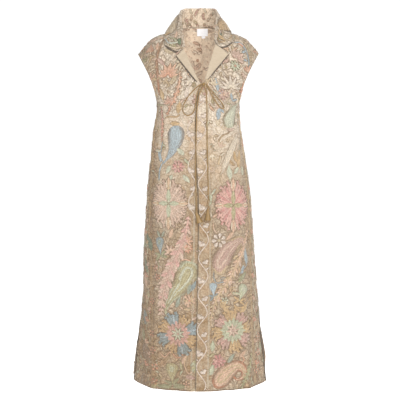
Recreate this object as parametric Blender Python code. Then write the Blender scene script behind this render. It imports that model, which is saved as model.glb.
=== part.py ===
"""A floor-length sleeveless waistcoat of linen, worn shape, with notched collar and tie.

Metres, +Z up, the wearer faces -Y.  The origin lies where the shoulders hold the
garment: level with the neck points, on the centre plane.  +X is the wearer's left.
Every cloth panel is a wall whose outer face is worked out from the section table.
"""
from math import cos, pi, sin, sqrt

import bpy
from mathutils import Vector

# ------------------------------------------------------------------ driving sizes
WALL = 0.002             # linen with its embroidery
SEAM = 0.0003            # clearance between two pieces
HEM_Z = -1.378
CHEST_Z = -0.288         # rows are level below this height, and follow the shoulder above it
UNDERARM_Z = -0.285
SLIT_Z = -1.090          # top of the side slits
SLIT_SPREAD_FRONT = 0.032
SLIT_SPREAD_BACK = 0.006
HEM_RISE = 0.018         # the hem climbs this much towards the side slits
CORNER_POWER = 2.2       # 2 is an ellipse, more is squarer
NECK_POINT_X = 0.095
RIDGE_Y = 0.010          # depth of the shoulder seam
ROLL_DROP = 0.110        # the shoulder rounds over within this height
SIDE_GAP_Y = 0.0003      # each side edge stops this far from the middle plane
RAMP_OUTER = 0.015       # the right front starts to sink this far outside the left front's edge
RAMP_INNER = 0.002       # and lies fully under it from here
LEAST_LAP = 0.004        # the right front's edge reaches at least this far under the left one
LAP_TOP_Z = -0.160       # the lap starts here and is complete LAP_TOP_FADE lower
LAP_TOP_FADE = 0.020
FOLD_FADE_POWER = 6      # folds die away towards the side seams
FOLD_GROWTH = 1.6        # a fold is at full height after 1/1.6 of its length
HEM_RISE_POWER = 3
SLOPE_STEP = 0.002       # distance over which a surface's slope is taken
SIDE_SEARCH = (0.10, 0.27)           # the side edge's distance from the centre lies in here

LEFT_FRONT_COLUMNS = (12,)
RIGHT_FRONT_COLUMNS = (2, 2, 10)     # underlap, ramp and the rest
BACK_COLUMNS = (11,)
SKIRT_ROWS = 20
SHOULDER_SHARES = (0.0, 0.03, 0.065, 0.12, 0.19, 0.27, 0.36,
                   0.46, 0.56, 0.66, 0.76, 0.85, 0.93, 1.0)
ROW_SAMPLES = 90
LINEN_ROUGHNESS = 0.85
FACING_ROUGHNESS = 0.80
SATIN_ROUGHNESS = 0.38
TAPE_ROUGHNESS = 0.50

SECTION_COLUMNS = ("z", "right_half", "left_half", "front", "back")
SECTIONS = (
    (0.060, 0.262, 0.256, 0.062, 0.084),
    (-0.080, 0.254, 0.248, 0.084, 0.094),
    (-0.150, 0.225, 0.219, 0.101, 0.103),
    (-0.222, 0.191, 0.185, 0.115, 0.106),
    (-0.262, 0.175, 0.169, 0.120, 0.104),
    (-0.285, 0.167, 0.160, 0.122, 0.102),
    (-0.340, 0.172, 0.161, 0.122, 0.097),
    (-0.394, 0.182, 0.167, 0.120, 0.093),
    (-0.460, 0.187, 0.178, 0.118, 0.092),
    (-0.586, 0.202, 0.198, 0.120, 0.102),
    (-0.714, 0.211, 0.210, 0.126, 0.115),
    (-0.860, 0.220, 0.220, 0.134, 0.124),
    (-1.035, 0.223, 0.234, 0.145, 0.134),
    (-1.140, 0.236, 0.244, 0.152, 0.140),
    (-1.260, 0.256, 0.267, 0.160, 0.146),
    (-1.378, 0.270, 0.284, 0.168, 0.152),
)
ARMHOLE_COLUMNS = ("z", "right_x", "left_x")
ARMHOLE = (
    (-0.080, 0.240, 0.234),
    (-0.115, 0.221, 0.215),
    (-0.150, 0.203, 0.197),
    (-0.186, 0.187, 0.181),
    (-0.222, 0.175, 0.169),
    (-0.255, 0.168, 0.162),
    (-0.272, 0.165, 0.158),
    (-0.285, 0.167, 0.160),
)
RIDGE_COLUMNS = ("x", "z")
RIDGE = (
    (0.000, 0.092),
    (0.050, 0.066),
    (0.075, 0.042),
    (0.095, 0.018),
    (0.130, 0.001),
    (0.160, -0.009),
    (0.190, -0.026),
    (0.214, -0.050),
    (0.240, -0.082),
)
BACK_NECK_RISE = 0.018   # the back neckline climbs this much from neck point to centre back
NECK_POINT_Z = 0.018
COLLAR_START_Z = -0.066  # the collar's front end, where the lapels begin
ROLL_FOOT_Z = -0.186     # the lapels' lower end, below which the edge is upright
NECK_POINT_SLACK = 0.002 # rows' points this near the neck point belong to the shoulder seam
FRONT_EDGE_COLUMNS = ("z", "right_x", "left_x")
FRONT_EDGE = (           # neckline, roll line and centre edge, as signed x
    (0.018, -0.095, 0.095),
    (-0.018, -0.083, 0.081),
    (-0.045, -0.072, 0.071),
    (-0.066, -0.063, 0.066),
    (-0.130, -0.028, 0.044),
    (-0.186, -0.002, 0.027),
    (-0.203, 0.009, 0.009),
    (-0.232, 0.030, -0.002),
    (-0.714, 0.030, -0.003),
    (-1.378, 0.016, -0.015),
)
BACK_SEAM_COLUMNS = ("z", "x")
BACK_SEAM = (
    (0.034, 0.016),
    (-0.300, 0.012),
    (-0.800, 0.000),
    (-1.378, 0.000),
)
FRONT_FOLDS = (          # x_top, z_top, x_low, z_low, half width, height
    (-0.146, -0.230, -0.160, -0.760, 0.016, 0.006),
    (0.140, -0.220, 0.168, -0.800, 0.016, 0.006),
    (-0.120, -0.700, -0.190, -1.378, 0.026, 0.009),
    (-0.062, -0.860, -0.084, -1.378, 0.030, -0.007),
    (0.070, -0.900, 0.094, -1.378, 0.030, -0.007),
    (0.140, -0.720, 0.196, -1.378, 0.027, 0.010),
)
BACK_FOLDS = (           # the same columns
    (-0.110, -0.300, -0.170, -1.378, 0.028, 0.010),
    (-0.050, -0.500, -0.080, -1.378, 0.024, -0.008),
    (0.060, -0.460, 0.086, -1.378, 0.026, -0.008),
    (0.110, -0.320, 0.176, -1.378, 0.028, 0.010),
)

# collar: one wall from the neck seam up, over the fold and down the leaf
COLLAR_COLUMNS = ("neck", "fold_x", "fold_y", "fold_z", "leaf_x", "leaf_y", "leaf_z", "sag")
COLLAR_RIGHT = (         # neck runs 0 at the roll line, 1 at the neck point, 2 at the back
    (0.00, -0.0560, -0.0870, -0.0610, -0.1320, -0.0680, -0.0520, 0.022),
    (0.55, -0.0660, -0.0560, 0.0080, -0.1330, -0.0380, -0.0200, 0.006),
    (1.00, -0.0710, -0.0080, 0.0710, -0.1270, 0.0080, 0.0080, 0.000),
    (1.50, -0.0580, 0.0420, 0.0990, -0.0940, 0.0740, 0.0100, 0.000),
    (2.00, 0.0000, 0.0640, 0.1050, 0.0000, 0.0960, 0.0120, 0.000),
)
COLLAR_LEFT = (
    (0.00, 0.0620, -0.0850, -0.0400, 0.1300, -0.0660, -0.0390, 0.024),
    (0.55, 0.0660, -0.0560, 0.0120, 0.1290, -0.0380, -0.0140, 0.005),
    (1.00, 0.0690, -0.0080, 0.0720, 0.1220, 0.0080, 0.0090, 0.000),
    (1.50, 0.0580, 0.0420, 0.0990, 0.0930, 0.0740, 0.0100, 0.000),
    (2.00, 0.0000, 0.0640, 0.1050, 0.0000, 0.0960, 0.0120, 0.000),
)
COLLAR_STATIONS = 17     # rows on each half of the collar
STAND_STEPS = 3
ROLL_STEPS = 4
LEAF_STEPS = 6
ROLL_RADIUS = 0.0035
LEAF_BULGE = 0.003
COLLAR_CLEAR = 0.0032
NECK_AXIS = Vector((0.0, 0.020, 0.020))
NECK_CENTRE = Vector((0.0, 0.0, 0.060))
NECK_POINT, BACK_POINT = 1.0, 2.0    # the collar table's neck places
NECK_STEP = 0.020        # step along the neck edge over which its direction is taken
FOLD_STEP = 0.050        # and along the collar's fold
FRONT_SHARE_END = 0.985  # the front and back neck edges are read just short of the neck point
BACK_SHARE_START = 0.040
SAG_POWER = 0.7          # the leaf sags most a little above its middle

# lapels: corners in the front view, (x, z)
LAPEL_RIGHT = {
    "roll_top": (-0.0580, -0.0720), "notch": (-0.0740, -0.0900),
    "peak": (-0.0873, -0.0950), "roll_low": (-0.0020, -0.1930), "edge_low": (-0.0070, -0.1980),
}
LAPEL_LEFT = {
    "roll_top": (0.0630, -0.0520), "notch": (0.0855, -0.0680),
    "peak": (0.1115, -0.0910), "roll_low": (0.0230, -0.1880), "edge_low": (0.0320, -0.1880),
}
LAPEL_ROWS = 11
LAPEL_COLUMNS = 6
LAPEL_LIFT = 0.0014
LAPEL_ROLL = 0.0030      # the lapel stands this much prouder along its roll line

# tie
CORD_RADIUS = 0.0020
CORD_LIFT = 0.0028       # cord centre above the cloth
CORD_STEP = 0.011
KNOT_CENTRE = (0.0180, -0.2080)
KNOT_HALF = (0.0065, 0.0050, 0.0055)
KNOT_LIFT = 0.0058
CONE_WALL = 0.0011
CONE_SIDES = 20
CONE_RINGS = 5
CONE_DEPTH = 0.62        # how round the cone is front to back
CONE_FLARE = 1.2         # 1 widens evenly, more widens late
CURVE_SAMPLES = 12
LOOK_STEPS = 40
LOOP_RIGHT = (           # (x, z, height above the cloth)
    (0.0100, -0.2062, 0.0058), (0.0040, -0.2092, 0.0044), (-0.0040, -0.2150, CORD_LIFT),
    (-0.0180, -0.2275, CORD_LIFT), (-0.0330, -0.2440, CORD_LIFT), (-0.0480, -0.2640, CORD_LIFT),
    (-0.0590, -0.2880, CORD_LIFT), (-0.0615, -0.3050, CORD_LIFT), (-0.0560, -0.3190, CORD_LIFT),
    (-0.0420, -0.3260, CORD_LIFT), (-0.0270, -0.3200, CORD_LIFT), (-0.0175, -0.3060, CORD_LIFT),
    (-0.0130, -0.2850, CORD_LIFT), (-0.0105, -0.2640, CORD_LIFT), (-0.0070, -0.2430, CORD_LIFT),
    (-0.0010, -0.2260, CORD_LIFT), (0.0058, -0.2165, 0.0040), (0.0098, -0.2122, 0.0056),
)
LOOP_LEFT = (
    (0.0260, -0.2062, 0.0060), (0.0340, -0.2130, 0.0050), (0.0460, -0.2310, CORD_LIFT),
    (0.0680, -0.2560, CORD_LIFT), (0.0870, -0.2770, CORD_LIFT), (0.0945, -0.2925, CORD_LIFT),
    (0.0900, -0.3000, CORD_LIFT), (0.0790, -0.2935, CORD_LIFT), (0.0620, -0.2700, CORD_LIFT),
    (0.0460, -0.2430, CORD_LIFT), (0.0350, -0.2235, 0.0040), (0.0262, -0.2122, 0.0056),
)
TAIL_RIGHT = (
    (0.0160, -0.2150, 0.0056), (0.0128, -0.2210, 0.0042), (0.0081, -0.2300, CORD_LIFT),
    (0.0020, -0.2450, CORD_LIFT), (-0.0030, -0.2650, CORD_LIFT), (-0.0062, -0.2900, CORD_LIFT),
    (-0.0092, -0.3400, CORD_LIFT), (-0.0110, -0.4200, CORD_LIFT), (-0.0122, -0.5200, CORD_LIFT),
    (-0.0116, -0.6200, CORD_LIFT), (-0.0109, -0.6740, 0.0040),
)
TAIL_LEFT = (
    (0.0207, -0.2151, 0.0056), (0.0240, -0.2260, 0.0040), (0.0285, -0.2480, CORD_LIFT),
    (0.0302, -0.2900, CORD_LIFT), (0.0306, -0.3800, CORD_LIFT), (0.0320, -0.4800, CORD_LIFT),
    (0.0350, -0.5800, CORD_LIFT), (0.0352, -0.6300, CORD_LIFT), (0.0347, -0.6620, 0.0040),
)
CONES = {                # top and foot centres (x, z) and the two half widths
    "tie_cone_right": ((-0.0102, -0.6950), (0.0035, -0.7340), 0.0045, 0.0130),
    "tie_cone_left": ((0.0345, -0.6810), (0.0335, -0.7250), 0.0036, 0.0115),
}
CONE_GAPS = {            # between the cord's end and the cone's top, more where the cone tilts
    "tie_cone_right": 0.0010,
    "tie_cone_left": 0.0006,
}
CONE_TOP_LIFT = 0.0056
CONE_FOOT_LIFT = 0.0096

# label at the back neck
LABEL_SIZE = (0.044, 0.029)
LABEL_X = 0.014
LABEL_TOP = 0.031
TAB_SIZE = (0.014, 0.009)
TAB_X = 0.018
TAPE_WALL = 0.001
TAPE_ROWS = 3
LABEL_COLUMNS = 6
TAB_COLUMNS = 3
LABEL_CLEAR = 0.0022

LINEN = (196, 176, 142)
LINEN_BACK = (186, 166, 134)
FACING = (214, 192, 158)
SATIN = (150, 120, 70)
WHITE_TAPE = (244, 244, 244)


# ------------------------------------------------------------------ small helpers
def clear_scene():
    for item in list(bpy.data.objects):
        bpy.data.objects.remove(item, do_unlink=True)


def column(table, columns, name, place):
    """Value of one column of a table at a place in its first column, smoothly joined."""
    pick = columns.index(name)
    rows = sorted(table)
    last = len(rows) - 1
    if place <= rows[0][0]:
        return rows[0][pick]
    if place >= rows[last][0]:
        return rows[last][pick]
    k = max(i for i in range(last) if rows[i][0] <= place)
    low, high = rows[k], rows[k + 1]
    span = high[0] - low[0]
    u = (place - low[0]) / span
    rise = (high[pick] - low[pick]) / span
    before = rise if k == 0 else (low[pick] - rows[k - 1][pick]) / (low[0] - rows[k - 1][0])
    after = rise if k + 1 == last else (rows[k + 2][pick] - high[pick]) / (rows[k + 2][0] - high[0])
    start = 0.5 * (rise + before) * span
    end = 0.5 * (rise + after) * span
    return ((2 * u**3 - 3 * u**2 + 1) * low[pick] + (u**3 - 2 * u**2 + u) * start
            + (3 * u**2 - 2 * u**3) * high[pick] + (u**3 - u**2) * end)


def smooth_step(u):
    u = min(1.0, max(0.0, u))
    return u * u * (3 - 2 * u)


def linear_colour(rgb):
    return tuple(((c / 255 + 0.055) / 1.055) ** 2.4 for c in rgb) + (1.0,)


def paint(item, rgb, roughness):
    material = bpy.data.materials.new(item.name + "_finish")
    material.use_nodes = True
    shader = material.node_tree.nodes["Principled BSDF"]
    shader.inputs["Base Color"].default_value = linear_colour(rgb)
    shader.inputs["Roughness"].default_value = roughness
    shader.inputs["Metallic"].default_value = 0.0
    item.data.materials.append(material)


# ------------------------------------------------------------------ the worn form
def half_width(side, z):
    return column(SECTIONS, SECTION_COLUMNS, "right_half" if side < 0 else "left_half", z)


def ridge_height(x):
    return column(RIDGE, RIDGE_COLUMNS, "z", abs(x))


def fold_height(folds, x, z):
    """How far the soft folds lift the cloth at a place in the front view."""
    lift = 0.0
    for fold in folds:
        x_top, z_top, x_low, z_low, half, height = fold
        along = (z_top - z) / (z_top - z_low)
        if along <= 0.0:
            continue
        crest = x_top + (x_low - x_top) * along
        across = (x - crest) / half
        lift += height * smooth_step(FOLD_GROWTH * along) / (1.0 + across**2) ** 2
    return lift


def depth_at(x, z, name, folds, ridge_y):
    """Distance of the cloth's outer face from the middle plane, shoulder rounding included."""
    side = -1 if x < 0 else 1
    start = min(z, ridge_height(x) - ROLL_DROP)
    t = min(1.0, abs(x) / half_width(side, z))
    depth = column(SECTIONS, SECTION_COLUMNS, name, start)
    full = depth * (1.0 - t**CORNER_POWER) ** (1 / CORNER_POWER)
    full += (1.0 - t**FOLD_FADE_POWER) * fold_height(folds, x, start)
    rounding = min(1.0, (z - start) / ROLL_DROP)
    return ridge_y + (full - ridge_y) * sqrt(1.0 - rounding * rounding)


def front_y(x, z):
    return -depth_at(x, z, "front", FRONT_FOLDS, -RIDGE_Y)


def back_y(x, z):
    return depth_at(x, z, "back", BACK_FOLDS, RIDGE_Y)


def lifted(depth_of, facing, x, z, lift):
    """A point of a panel's outer face, moved out square to it; facing is -1 in front."""
    step = SLOPE_STEP
    slope_x = (depth_of(x + step, z) - depth_of(x - step, z)) / (2 * step)
    slope_z = (depth_of(x, z + step) - depth_of(x, z - step)) / (2 * step)
    normal = Vector((-slope_x, 1.0, -slope_z)).normalized() * facing
    return Vector((x, depth_of(x, z), z)) + normal * lift


def on_front(x, z, lift):
    return lifted(front_y, -1, x, z, lift)


def on_back(x, z, lift):
    return lifted(back_y, 1, x, z, lift)


def sunk_from(z):
    """Signed x from which the right front lies fully under the left one."""
    left = column(FRONT_EDGE, FRONT_EDGE_COLUMNS, "left_x", z)
    right = column(FRONT_EDGE, FRONT_EDGE_COLUMNS, "right_x", z)
    return min(left, right - LEAST_LAP) - RAMP_INNER


def sunk_front_y(x, z):
    """The right front's outer face, which sinks one wall where the left front covers it."""
    under = smooth_step((x - sunk_from(z)) / (RAMP_OUTER - RAMP_INNER) + 1.0)
    covered = smooth_step((LAP_TOP_Z - z) / LAP_TOP_FADE)
    return front_y(x, z) + (WALL + 2 * SEAM) * under * covered


# ------------------------------------------------------------------ walls
def tangent(points, k, curved):
    """Direction along a line of points; curved keeps it true to a curve at the two ends."""
    last = len(points) - 1
    if 0 < k < last:
        return points[k + 1] - points[k - 1]
    line = points if k == 0 else points[::-1]
    direction = line[1] - line[0]
    if curved:
        direction = line[1] * 4 - line[0] * 3 - line[2]
    return direction if k == 0 else -direction


def grid_normals(rows):
    stacks = list(zip(*rows))
    normals = []
    for i, row in enumerate(rows):
        line = []
        for j, stack in enumerate(stacks):
            line.append(tangent(row, j, True).cross(tangent(stack, i, False)).normalized())
        normals.append(line)
    return normals


def signed_volume(points, faces):
    total = 0.0
    for face in faces:
        a = points[face[0]]
        for k in range(1, len(face) - 1):
            total += a.dot(points[face[k]].cross(points[face[k + 1]]))
    return total / 6


def wall(name, rows, out, inward, rgb, roughness=LINEN_ROUGHNESS, thickness=WALL):
    """Close a grid of outer points into a cloth wall.

    out is +1 or -1 and turns the grid's normals outwards; the wall spans from
    (1 - inward) of its thickness outside the grid to inward of it inside.
    """
    high, wide = len(rows), len(rows[0])
    normals = grid_normals(rows)
    outer = [rows[i][j] + normals[i][j] * out * thickness * (1 - inward)
             for i in range(high) for j in range(wide)]
    inner = [rows[i][j] - normals[i][j] * out * thickness * inward
             for i in range(high) for j in range(wide)]
    points = outer + inner
    back = len(outer)
    faces = []
    for i in range(high - 1):
        for j in range(wide - 1):
            a, b = i * wide + j, i * wide + j + 1
            c, d = b + wide, a + wide
            short = (outer[a] - outer[c]).length < (outer[b] - outer[d]).length
            for face in ((a, b, c), (a, c, d)) if short else ((a, b, d), (b, c, d)):
                faces.append(face)
                faces.append(tuple(back + k for k in reversed(face)))
    rim = [j for j in range(wide)]
    rim += [i * wide + wide - 1 for i in range(1, high)]
    rim += [(high - 1) * wide + j for j in range(wide - 2, -1, -1)]
    rim += [i * wide for i in range(high - 2, 0, -1)]
    for k, start in enumerate(rim):
        end = rim[(k + 1) % len(rim)]
        faces.append((start, back + start, back + end, end))
    if signed_volume(points, faces) < 0:
        faces = [tuple(reversed(face)) for face in faces]
    mesh = bpy.data.meshes.new(name)
    mesh.from_pydata([tuple(p) for p in points], [], faces)
    mesh.validate()
    mesh.shade_smooth()
    item = bpy.data.objects.new(name, mesh)
    bpy.context.scene.collection.objects.link(item)
    mesh.set_sharp_from_angle(angle=pi / 4)
    paint(item, rgb, roughness)
    return item


def evenly(points, count):
    """Points spaced evenly along a polyline."""
    reach = [0.0]
    for a, b in zip(points, points[1:]):
        reach.append(reach[-1] + (b - a).length)
    result = []
    k = 0
    for step in range(count + 1):
        goal = reach[-1] * step / count
        while k < len(points) - 2 and reach[k + 1] < goal:
            k += 1
        span = reach[k + 1] - reach[k]
        u = 0.0 if span == 0 else min(1.0, (goal - reach[k]) / span)
        result.append(points[k].lerp(points[k + 1], u))
    return result


# ------------------------------------------------------------------ body panels
def row_height(x, top, w, level):
    """Height of a row: level below the chest, following the shoulder line above it."""
    if w is None:
        reach = min(1.0, abs(x) / half_width(-1 if x < 0 else 1, level))
        low = smooth_step((SLIT_Z - level) / (SLIT_Z - HEM_Z))
        return level + HEM_RISE * low * reach**HEM_RISE_POWER
    return CHEST_Z + (top - CHEST_Z) * sin(pi / 2 * w)


def row_list():
    rows = [(None, HEM_Z + (CHEST_Z - HEM_Z) * k / SKIRT_ROWS) for k in range(SKIRT_ROWS)]
    rows += [(share, None) for share in SHOULDER_SHARES]
    return rows


def meet(low, high, gap):
    """Where a falling function of x crosses zero."""
    for _ in range(LOOK_STEPS):
        middle = 0.5 * (low + high)
        if gap(middle) > 0:
            low = middle
        else:
            high = middle
    return 0.5 * (low + high)


def side_edge(side, z, spread):
    """The panel's edge at the side: armhole, closed side, then the slit."""
    if z > UNDERARM_Z:
        return column(ARMHOLE, ARMHOLE_COLUMNS, "right_x" if side < 0 else "left_x", z)
    half = half_width(side, z)
    if z > SLIT_Z:
        return half
    open_share = (SLIT_Z - z) / (SLIT_Z - HEM_Z)
    return half * (1.0 - spread * sin(pi / 2 * open_share))


def panel_rows(side, top_of, inner_of, depth_of, spread, columns, breaks=()):
    """Rows of outer points from the inner edge to the side edge.

    The points are spaced evenly between the breaks, which are functions of the
    row's inner x and height; columns says how many steps lie in each stretch.
    """
    rows = []
    for w, level in row_list():
        def height(x):
            return row_height(x, top_of(x), w, level)
        start = inner_of(height)
        end = meet(*SIDE_SEARCH, lambda x: side_edge(side, height(x), spread) - x)
        stops = [start] + [place(start, height(start)) for place in breaks] + [side * end]
        row = []
        for first, last, count in zip(stops, stops[1:], columns):
            line = []
            for k in range(ROW_SAMPLES + 1):
                x = first + (last - first) * sin(pi / 2 * k / ROW_SAMPLES)
                line.append(Vector((x, depth_of(x, height(x)), height(x))))
            row = row[:-1] + evenly(line, count)
        if abs(row[-1].y) < SIDE_GAP_Y:
            row[-1].y = SIDE_GAP_Y if row[0].y > 0 else -SIDE_GAP_Y
        rows.append(row)
    return rows


def front_rows(side, columns):
    edge_name = "right_x" if side < 0 else "left_x"

    def inner(height):
        def gap(x):
            return abs(column(FRONT_EDGE, FRONT_EDGE_COLUMNS, edge_name, height(x))) - x
        z = height(0.0)
        if z < ROLL_FOOT_Z:
            return column(FRONT_EDGE, FRONT_EDGE_COLUMNS, edge_name, z)
        return side * meet(0.0, NECK_POINT_X, gap)

    if side > 0:
        return panel_rows(side, ridge_height, inner, front_y, SLIT_SPREAD_FRONT, columns)

    def sunk(start, z):
        return sunk_from(z)

    def level(start, z):
        return sunk_from(z) - (RAMP_OUTER - RAMP_INNER)

    return panel_rows(side, ridge_height, inner, sunk_front_y, SLIT_SPREAD_FRONT,
                      columns, (sunk, level))


def back_top(x):
    """Upper edge of the back: the neckline, then the shoulder seam."""
    if abs(x) >= NECK_POINT_X:
        return ridge_height(x)
    return ridge_height(NECK_POINT_X) + BACK_NECK_RISE * (1 - (x / NECK_POINT_X) ** 2)


def back_rows(side, columns):
    def inner(height):
        z = height(0.0)
        return column(BACK_SEAM, BACK_SEAM_COLUMNS, "x", z) + side * SEAM

    return panel_rows(side, back_top, inner, back_y, SLIT_SPREAD_BACK, columns)


def part_shoulders(rows, shift):
    """Keep the front and back apart along the shoulder seam."""
    for point in rows[-1]:
        if abs(point.x) >= NECK_POINT_X - NECK_POINT_SLACK:
            point.y += shift


def body_panels():
    for side, name in ((-1, "front_right"), (1, "front_left")):
        rows = front_rows(side, RIGHT_FRONT_COLUMNS if side < 0 else LEFT_FRONT_COLUMNS)
        part_shoulders(rows, -SEAM)
        wall(name, rows, side, 1.0, LINEN)
    for side, name in ((-1, "back_right"), (1, "back_left")):
        rows = back_rows(side, BACK_COLUMNS)
        part_shoulders(rows, SEAM)
        wall(name, rows, -side, 1.0, LINEN_BACK)


# ------------------------------------------------------------------ collar
def neck_edge(side, place):
    """Point on the panels' neck edge, the cloth's normal there, and the way into the neck.

    place runs 0 at the roll line, 1 at the neck point and 2 at the centre back.
    """
    name = "right_x" if side < 0 else "left_x"

    def front_point(u):
        z = COLLAR_START_Z + (NECK_POINT_Z - COLLAR_START_Z) * min(u, FRONT_SHARE_END)
        x = column(FRONT_EDGE, FRONT_EDGE_COLUMNS, name, z)
        return Vector((x, front_y(x, z), z))

    def back_point(u):
        x = side * NECK_POINT_X * cos(pi / 2 * max(u, BACK_SHARE_START))
        return Vector((x, back_y(x, back_top(x)), back_top(x)))

    step = NECK_STEP
    if place <= NECK_POINT:
        point = front_point(place)
        along = front_point(place + step) - front_point(place - step)
        normal = on_front(point.x, point.z, 1.0) - point
    else:
        past = place - NECK_POINT
        point = back_point(past)
        along = back_point(past + step) - back_point(past - step)
        normal = on_back(point.x, point.z, 1.0) - point
    into = along.cross(normal).normalized()
    if into.dot(NECK_CENTRE - point) < 0:
        into = -into
    return point, normal, into


def off_the_body(point):
    """Lift a point of the collar's leaf clear of the shoulders."""
    below = point.z - COLLAR_CLEAR
    if below > ridge_height(point.x):
        return point
    front = front_y(point.x, below) - COLLAR_CLEAR
    back = back_y(point.x, below) + COLLAR_CLEAR
    if front < point.y < back:
        nearer_front = point.y - front < back - point.y
        return Vector((point.x, front if nearer_front else back, point.z))
    return point


def collar_section(side, table, place):
    """One section of the collar, from the stand's foot over the fold to the leaf's edge."""
    def read(name, at=place):
        return column(table, COLLAR_COLUMNS, name, at)

    def fold_at(at):
        return Vector((read("fold_x", at), read("fold_y", at), read("fold_z", at)))

    edge, normal, into = neck_edge(side, place)
    foot = edge + into * (WALL / 2 + 2 * SEAM) - normal * (WALL / 2)
    fold = fold_at(place)
    leaf = Vector((read("leaf_x"), read("leaf_y"), read("leaf_z")))
    along = fold_at(min(place + FOLD_STEP, BACK_POINT)) - fold_at(max(place - FOLD_STEP, 0.0))
    if place == BACK_POINT:
        along = Vector((1.0, 0.0, 0.0))
    up = (fold - foot.lerp(leaf, 0.5)).normalized()
    outward = along.cross(up).normalized()
    if outward.dot(fold - NECK_AXIS) < 0:
        outward = -outward
    stand_top = fold - outward * ROLL_RADIUS
    leaf_top = fold + outward * ROLL_RADIUS
    points = [foot.lerp(stand_top, k / STAND_STEPS) for k in range(STAND_STEPS)]
    for k in range(ROLL_STEPS + 1):
        turn = pi * k / ROLL_STEPS
        points.append(fold - outward * ROLL_RADIUS * cos(turn) + up * ROLL_RADIUS * sin(turn))
    for k in range(1, LEAF_STEPS + 1):
        u = k / LEAF_STEPS
        point = leaf_top.lerp(leaf, u) + outward * LEAF_BULGE * sin(pi * u)
        point.z -= read("sag") * sin(pi * u**SAG_POWER)
        points.append(off_the_body(point))
    return points


def past_the_back(table, other):
    """A half collar's table with the other half's next row added, so the halves join smoothly."""
    neck, fold_x, fold_y, fold_z, leaf_x, leaf_y, leaf_z, sag = other[-2]
    return table + ((2 * BACK_POINT - neck, fold_x, fold_y, fold_z, leaf_x, leaf_y, leaf_z, sag),)


def collar():
    right = past_the_back(COLLAR_RIGHT, COLLAR_LEFT)
    left = past_the_back(COLLAR_LEFT, COLLAR_RIGHT)
    rows = []
    for k in range(COLLAR_STATIONS + 1):
        rows.append(collar_section(-1, right, BACK_POINT * k / COLLAR_STATIONS))
    for k in range(COLLAR_STATIONS - 1, -1, -1):
        rows.append(collar_section(1, left, BACK_POINT * k / COLLAR_STATIONS))
    wall("collar", rows, 1, 0.5, LINEN)


# ------------------------------------------------------------------ lapels
def lapel(name, corners):
    """The turned-back facing, laid on the front and a little prouder at its roll."""
    def at(key):
        return Vector(corners[key])
    rows = []
    for i in range(LAPEL_ROWS + 1):
        v = i / LAPEL_ROWS
        roll = at("roll_low").lerp(at("roll_top"), v)
        outer = at("edge_low").lerp(at("peak"), v)
        line = []
        for j in range(LAPEL_COLUMNS + 1):
            u = j / LAPEL_COLUMNS
            place = roll.lerp(outer, u)
            top_line = at("roll_top").lerp(at("notch"), 2 * u) if u < 0.5 else \
                at("notch").lerp(at("peak"), 2 * u - 1)
            place += (top_line - at("roll_top").lerp(at("peak"), u)) * v**3
            lift = LAPEL_LIFT + WALL + LAPEL_ROLL * (1 - u) ** 2
            line.append(on_front(place.x, place.y, lift))
        rows.append(line)
    side = 1 if corners["peak"][0] > 0 else -1
    wall(name, rows, side, 1.0, FACING, FACING_ROUGHNESS)


# ------------------------------------------------------------------ tie
def smooth_route(points, step):
    """Even points along a smooth curve through the route's points."""
    fine = []
    last = len(points) - 1
    for k in range(last):
        a, b = points[max(k - 1, 0)], points[k]
        c, d = points[k + 1], points[min(k + 2, last)]
        for n in range(CURVE_SAMPLES):
            u = n / CURVE_SAMPLES
            fine.append(0.5 * (2 * b + (c - a) * u + (2 * a - 5 * b + 4 * c - d) * u**2
                               + (3 * b - a - 3 * c + d) * u**3))
    fine.append(points[last])
    length = sum((q - p).length for p, q in zip(fine, fine[1:]))
    return evenly(fine, max(2, round(length / step)))


def cord(name, route):
    places = [Vector((x, front_y(x, z) - lift, z)) for x, z, lift in route]
    points = smooth_route(places, CORD_STEP)
    curve = bpy.data.curves.new(name, "CURVE")
    curve.dimensions = "3D"
    curve.bevel_depth = CORD_RADIUS
    curve.bevel_resolution = 2
    curve.render_resolution_u = 0
    curve.use_fill_caps = True
    spline = curve.splines.new("POLY")
    spline.points.add(len(points) - 1)
    for slot, point in zip(spline.points, points):
        slot.co = (*point, 1.0)
    item = bpy.data.objects.new(name, curve)
    bpy.context.scene.collection.objects.link(item)
    paint(item, SATIN, SATIN_ROUGHNESS)


def knot():
    x, z = KNOT_CENTRE
    bpy.ops.mesh.primitive_uv_sphere_add(segments=16, ring_count=10, radius=1.0)
    item = bpy.context.object
    item.name = "tie_knot"
    for vertex in item.data.vertices:
        vertex.co.x *= KNOT_HALF[0]
        vertex.co.y *= KNOT_HALF[1]
        vertex.co.z *= KNOT_HALF[2]
    item.location = (x, front_y(x, z) - KNOT_LIFT, z)
    item.data.shade_smooth()
    paint(item, SATIN, SATIN_ROUGHNESS)


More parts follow.
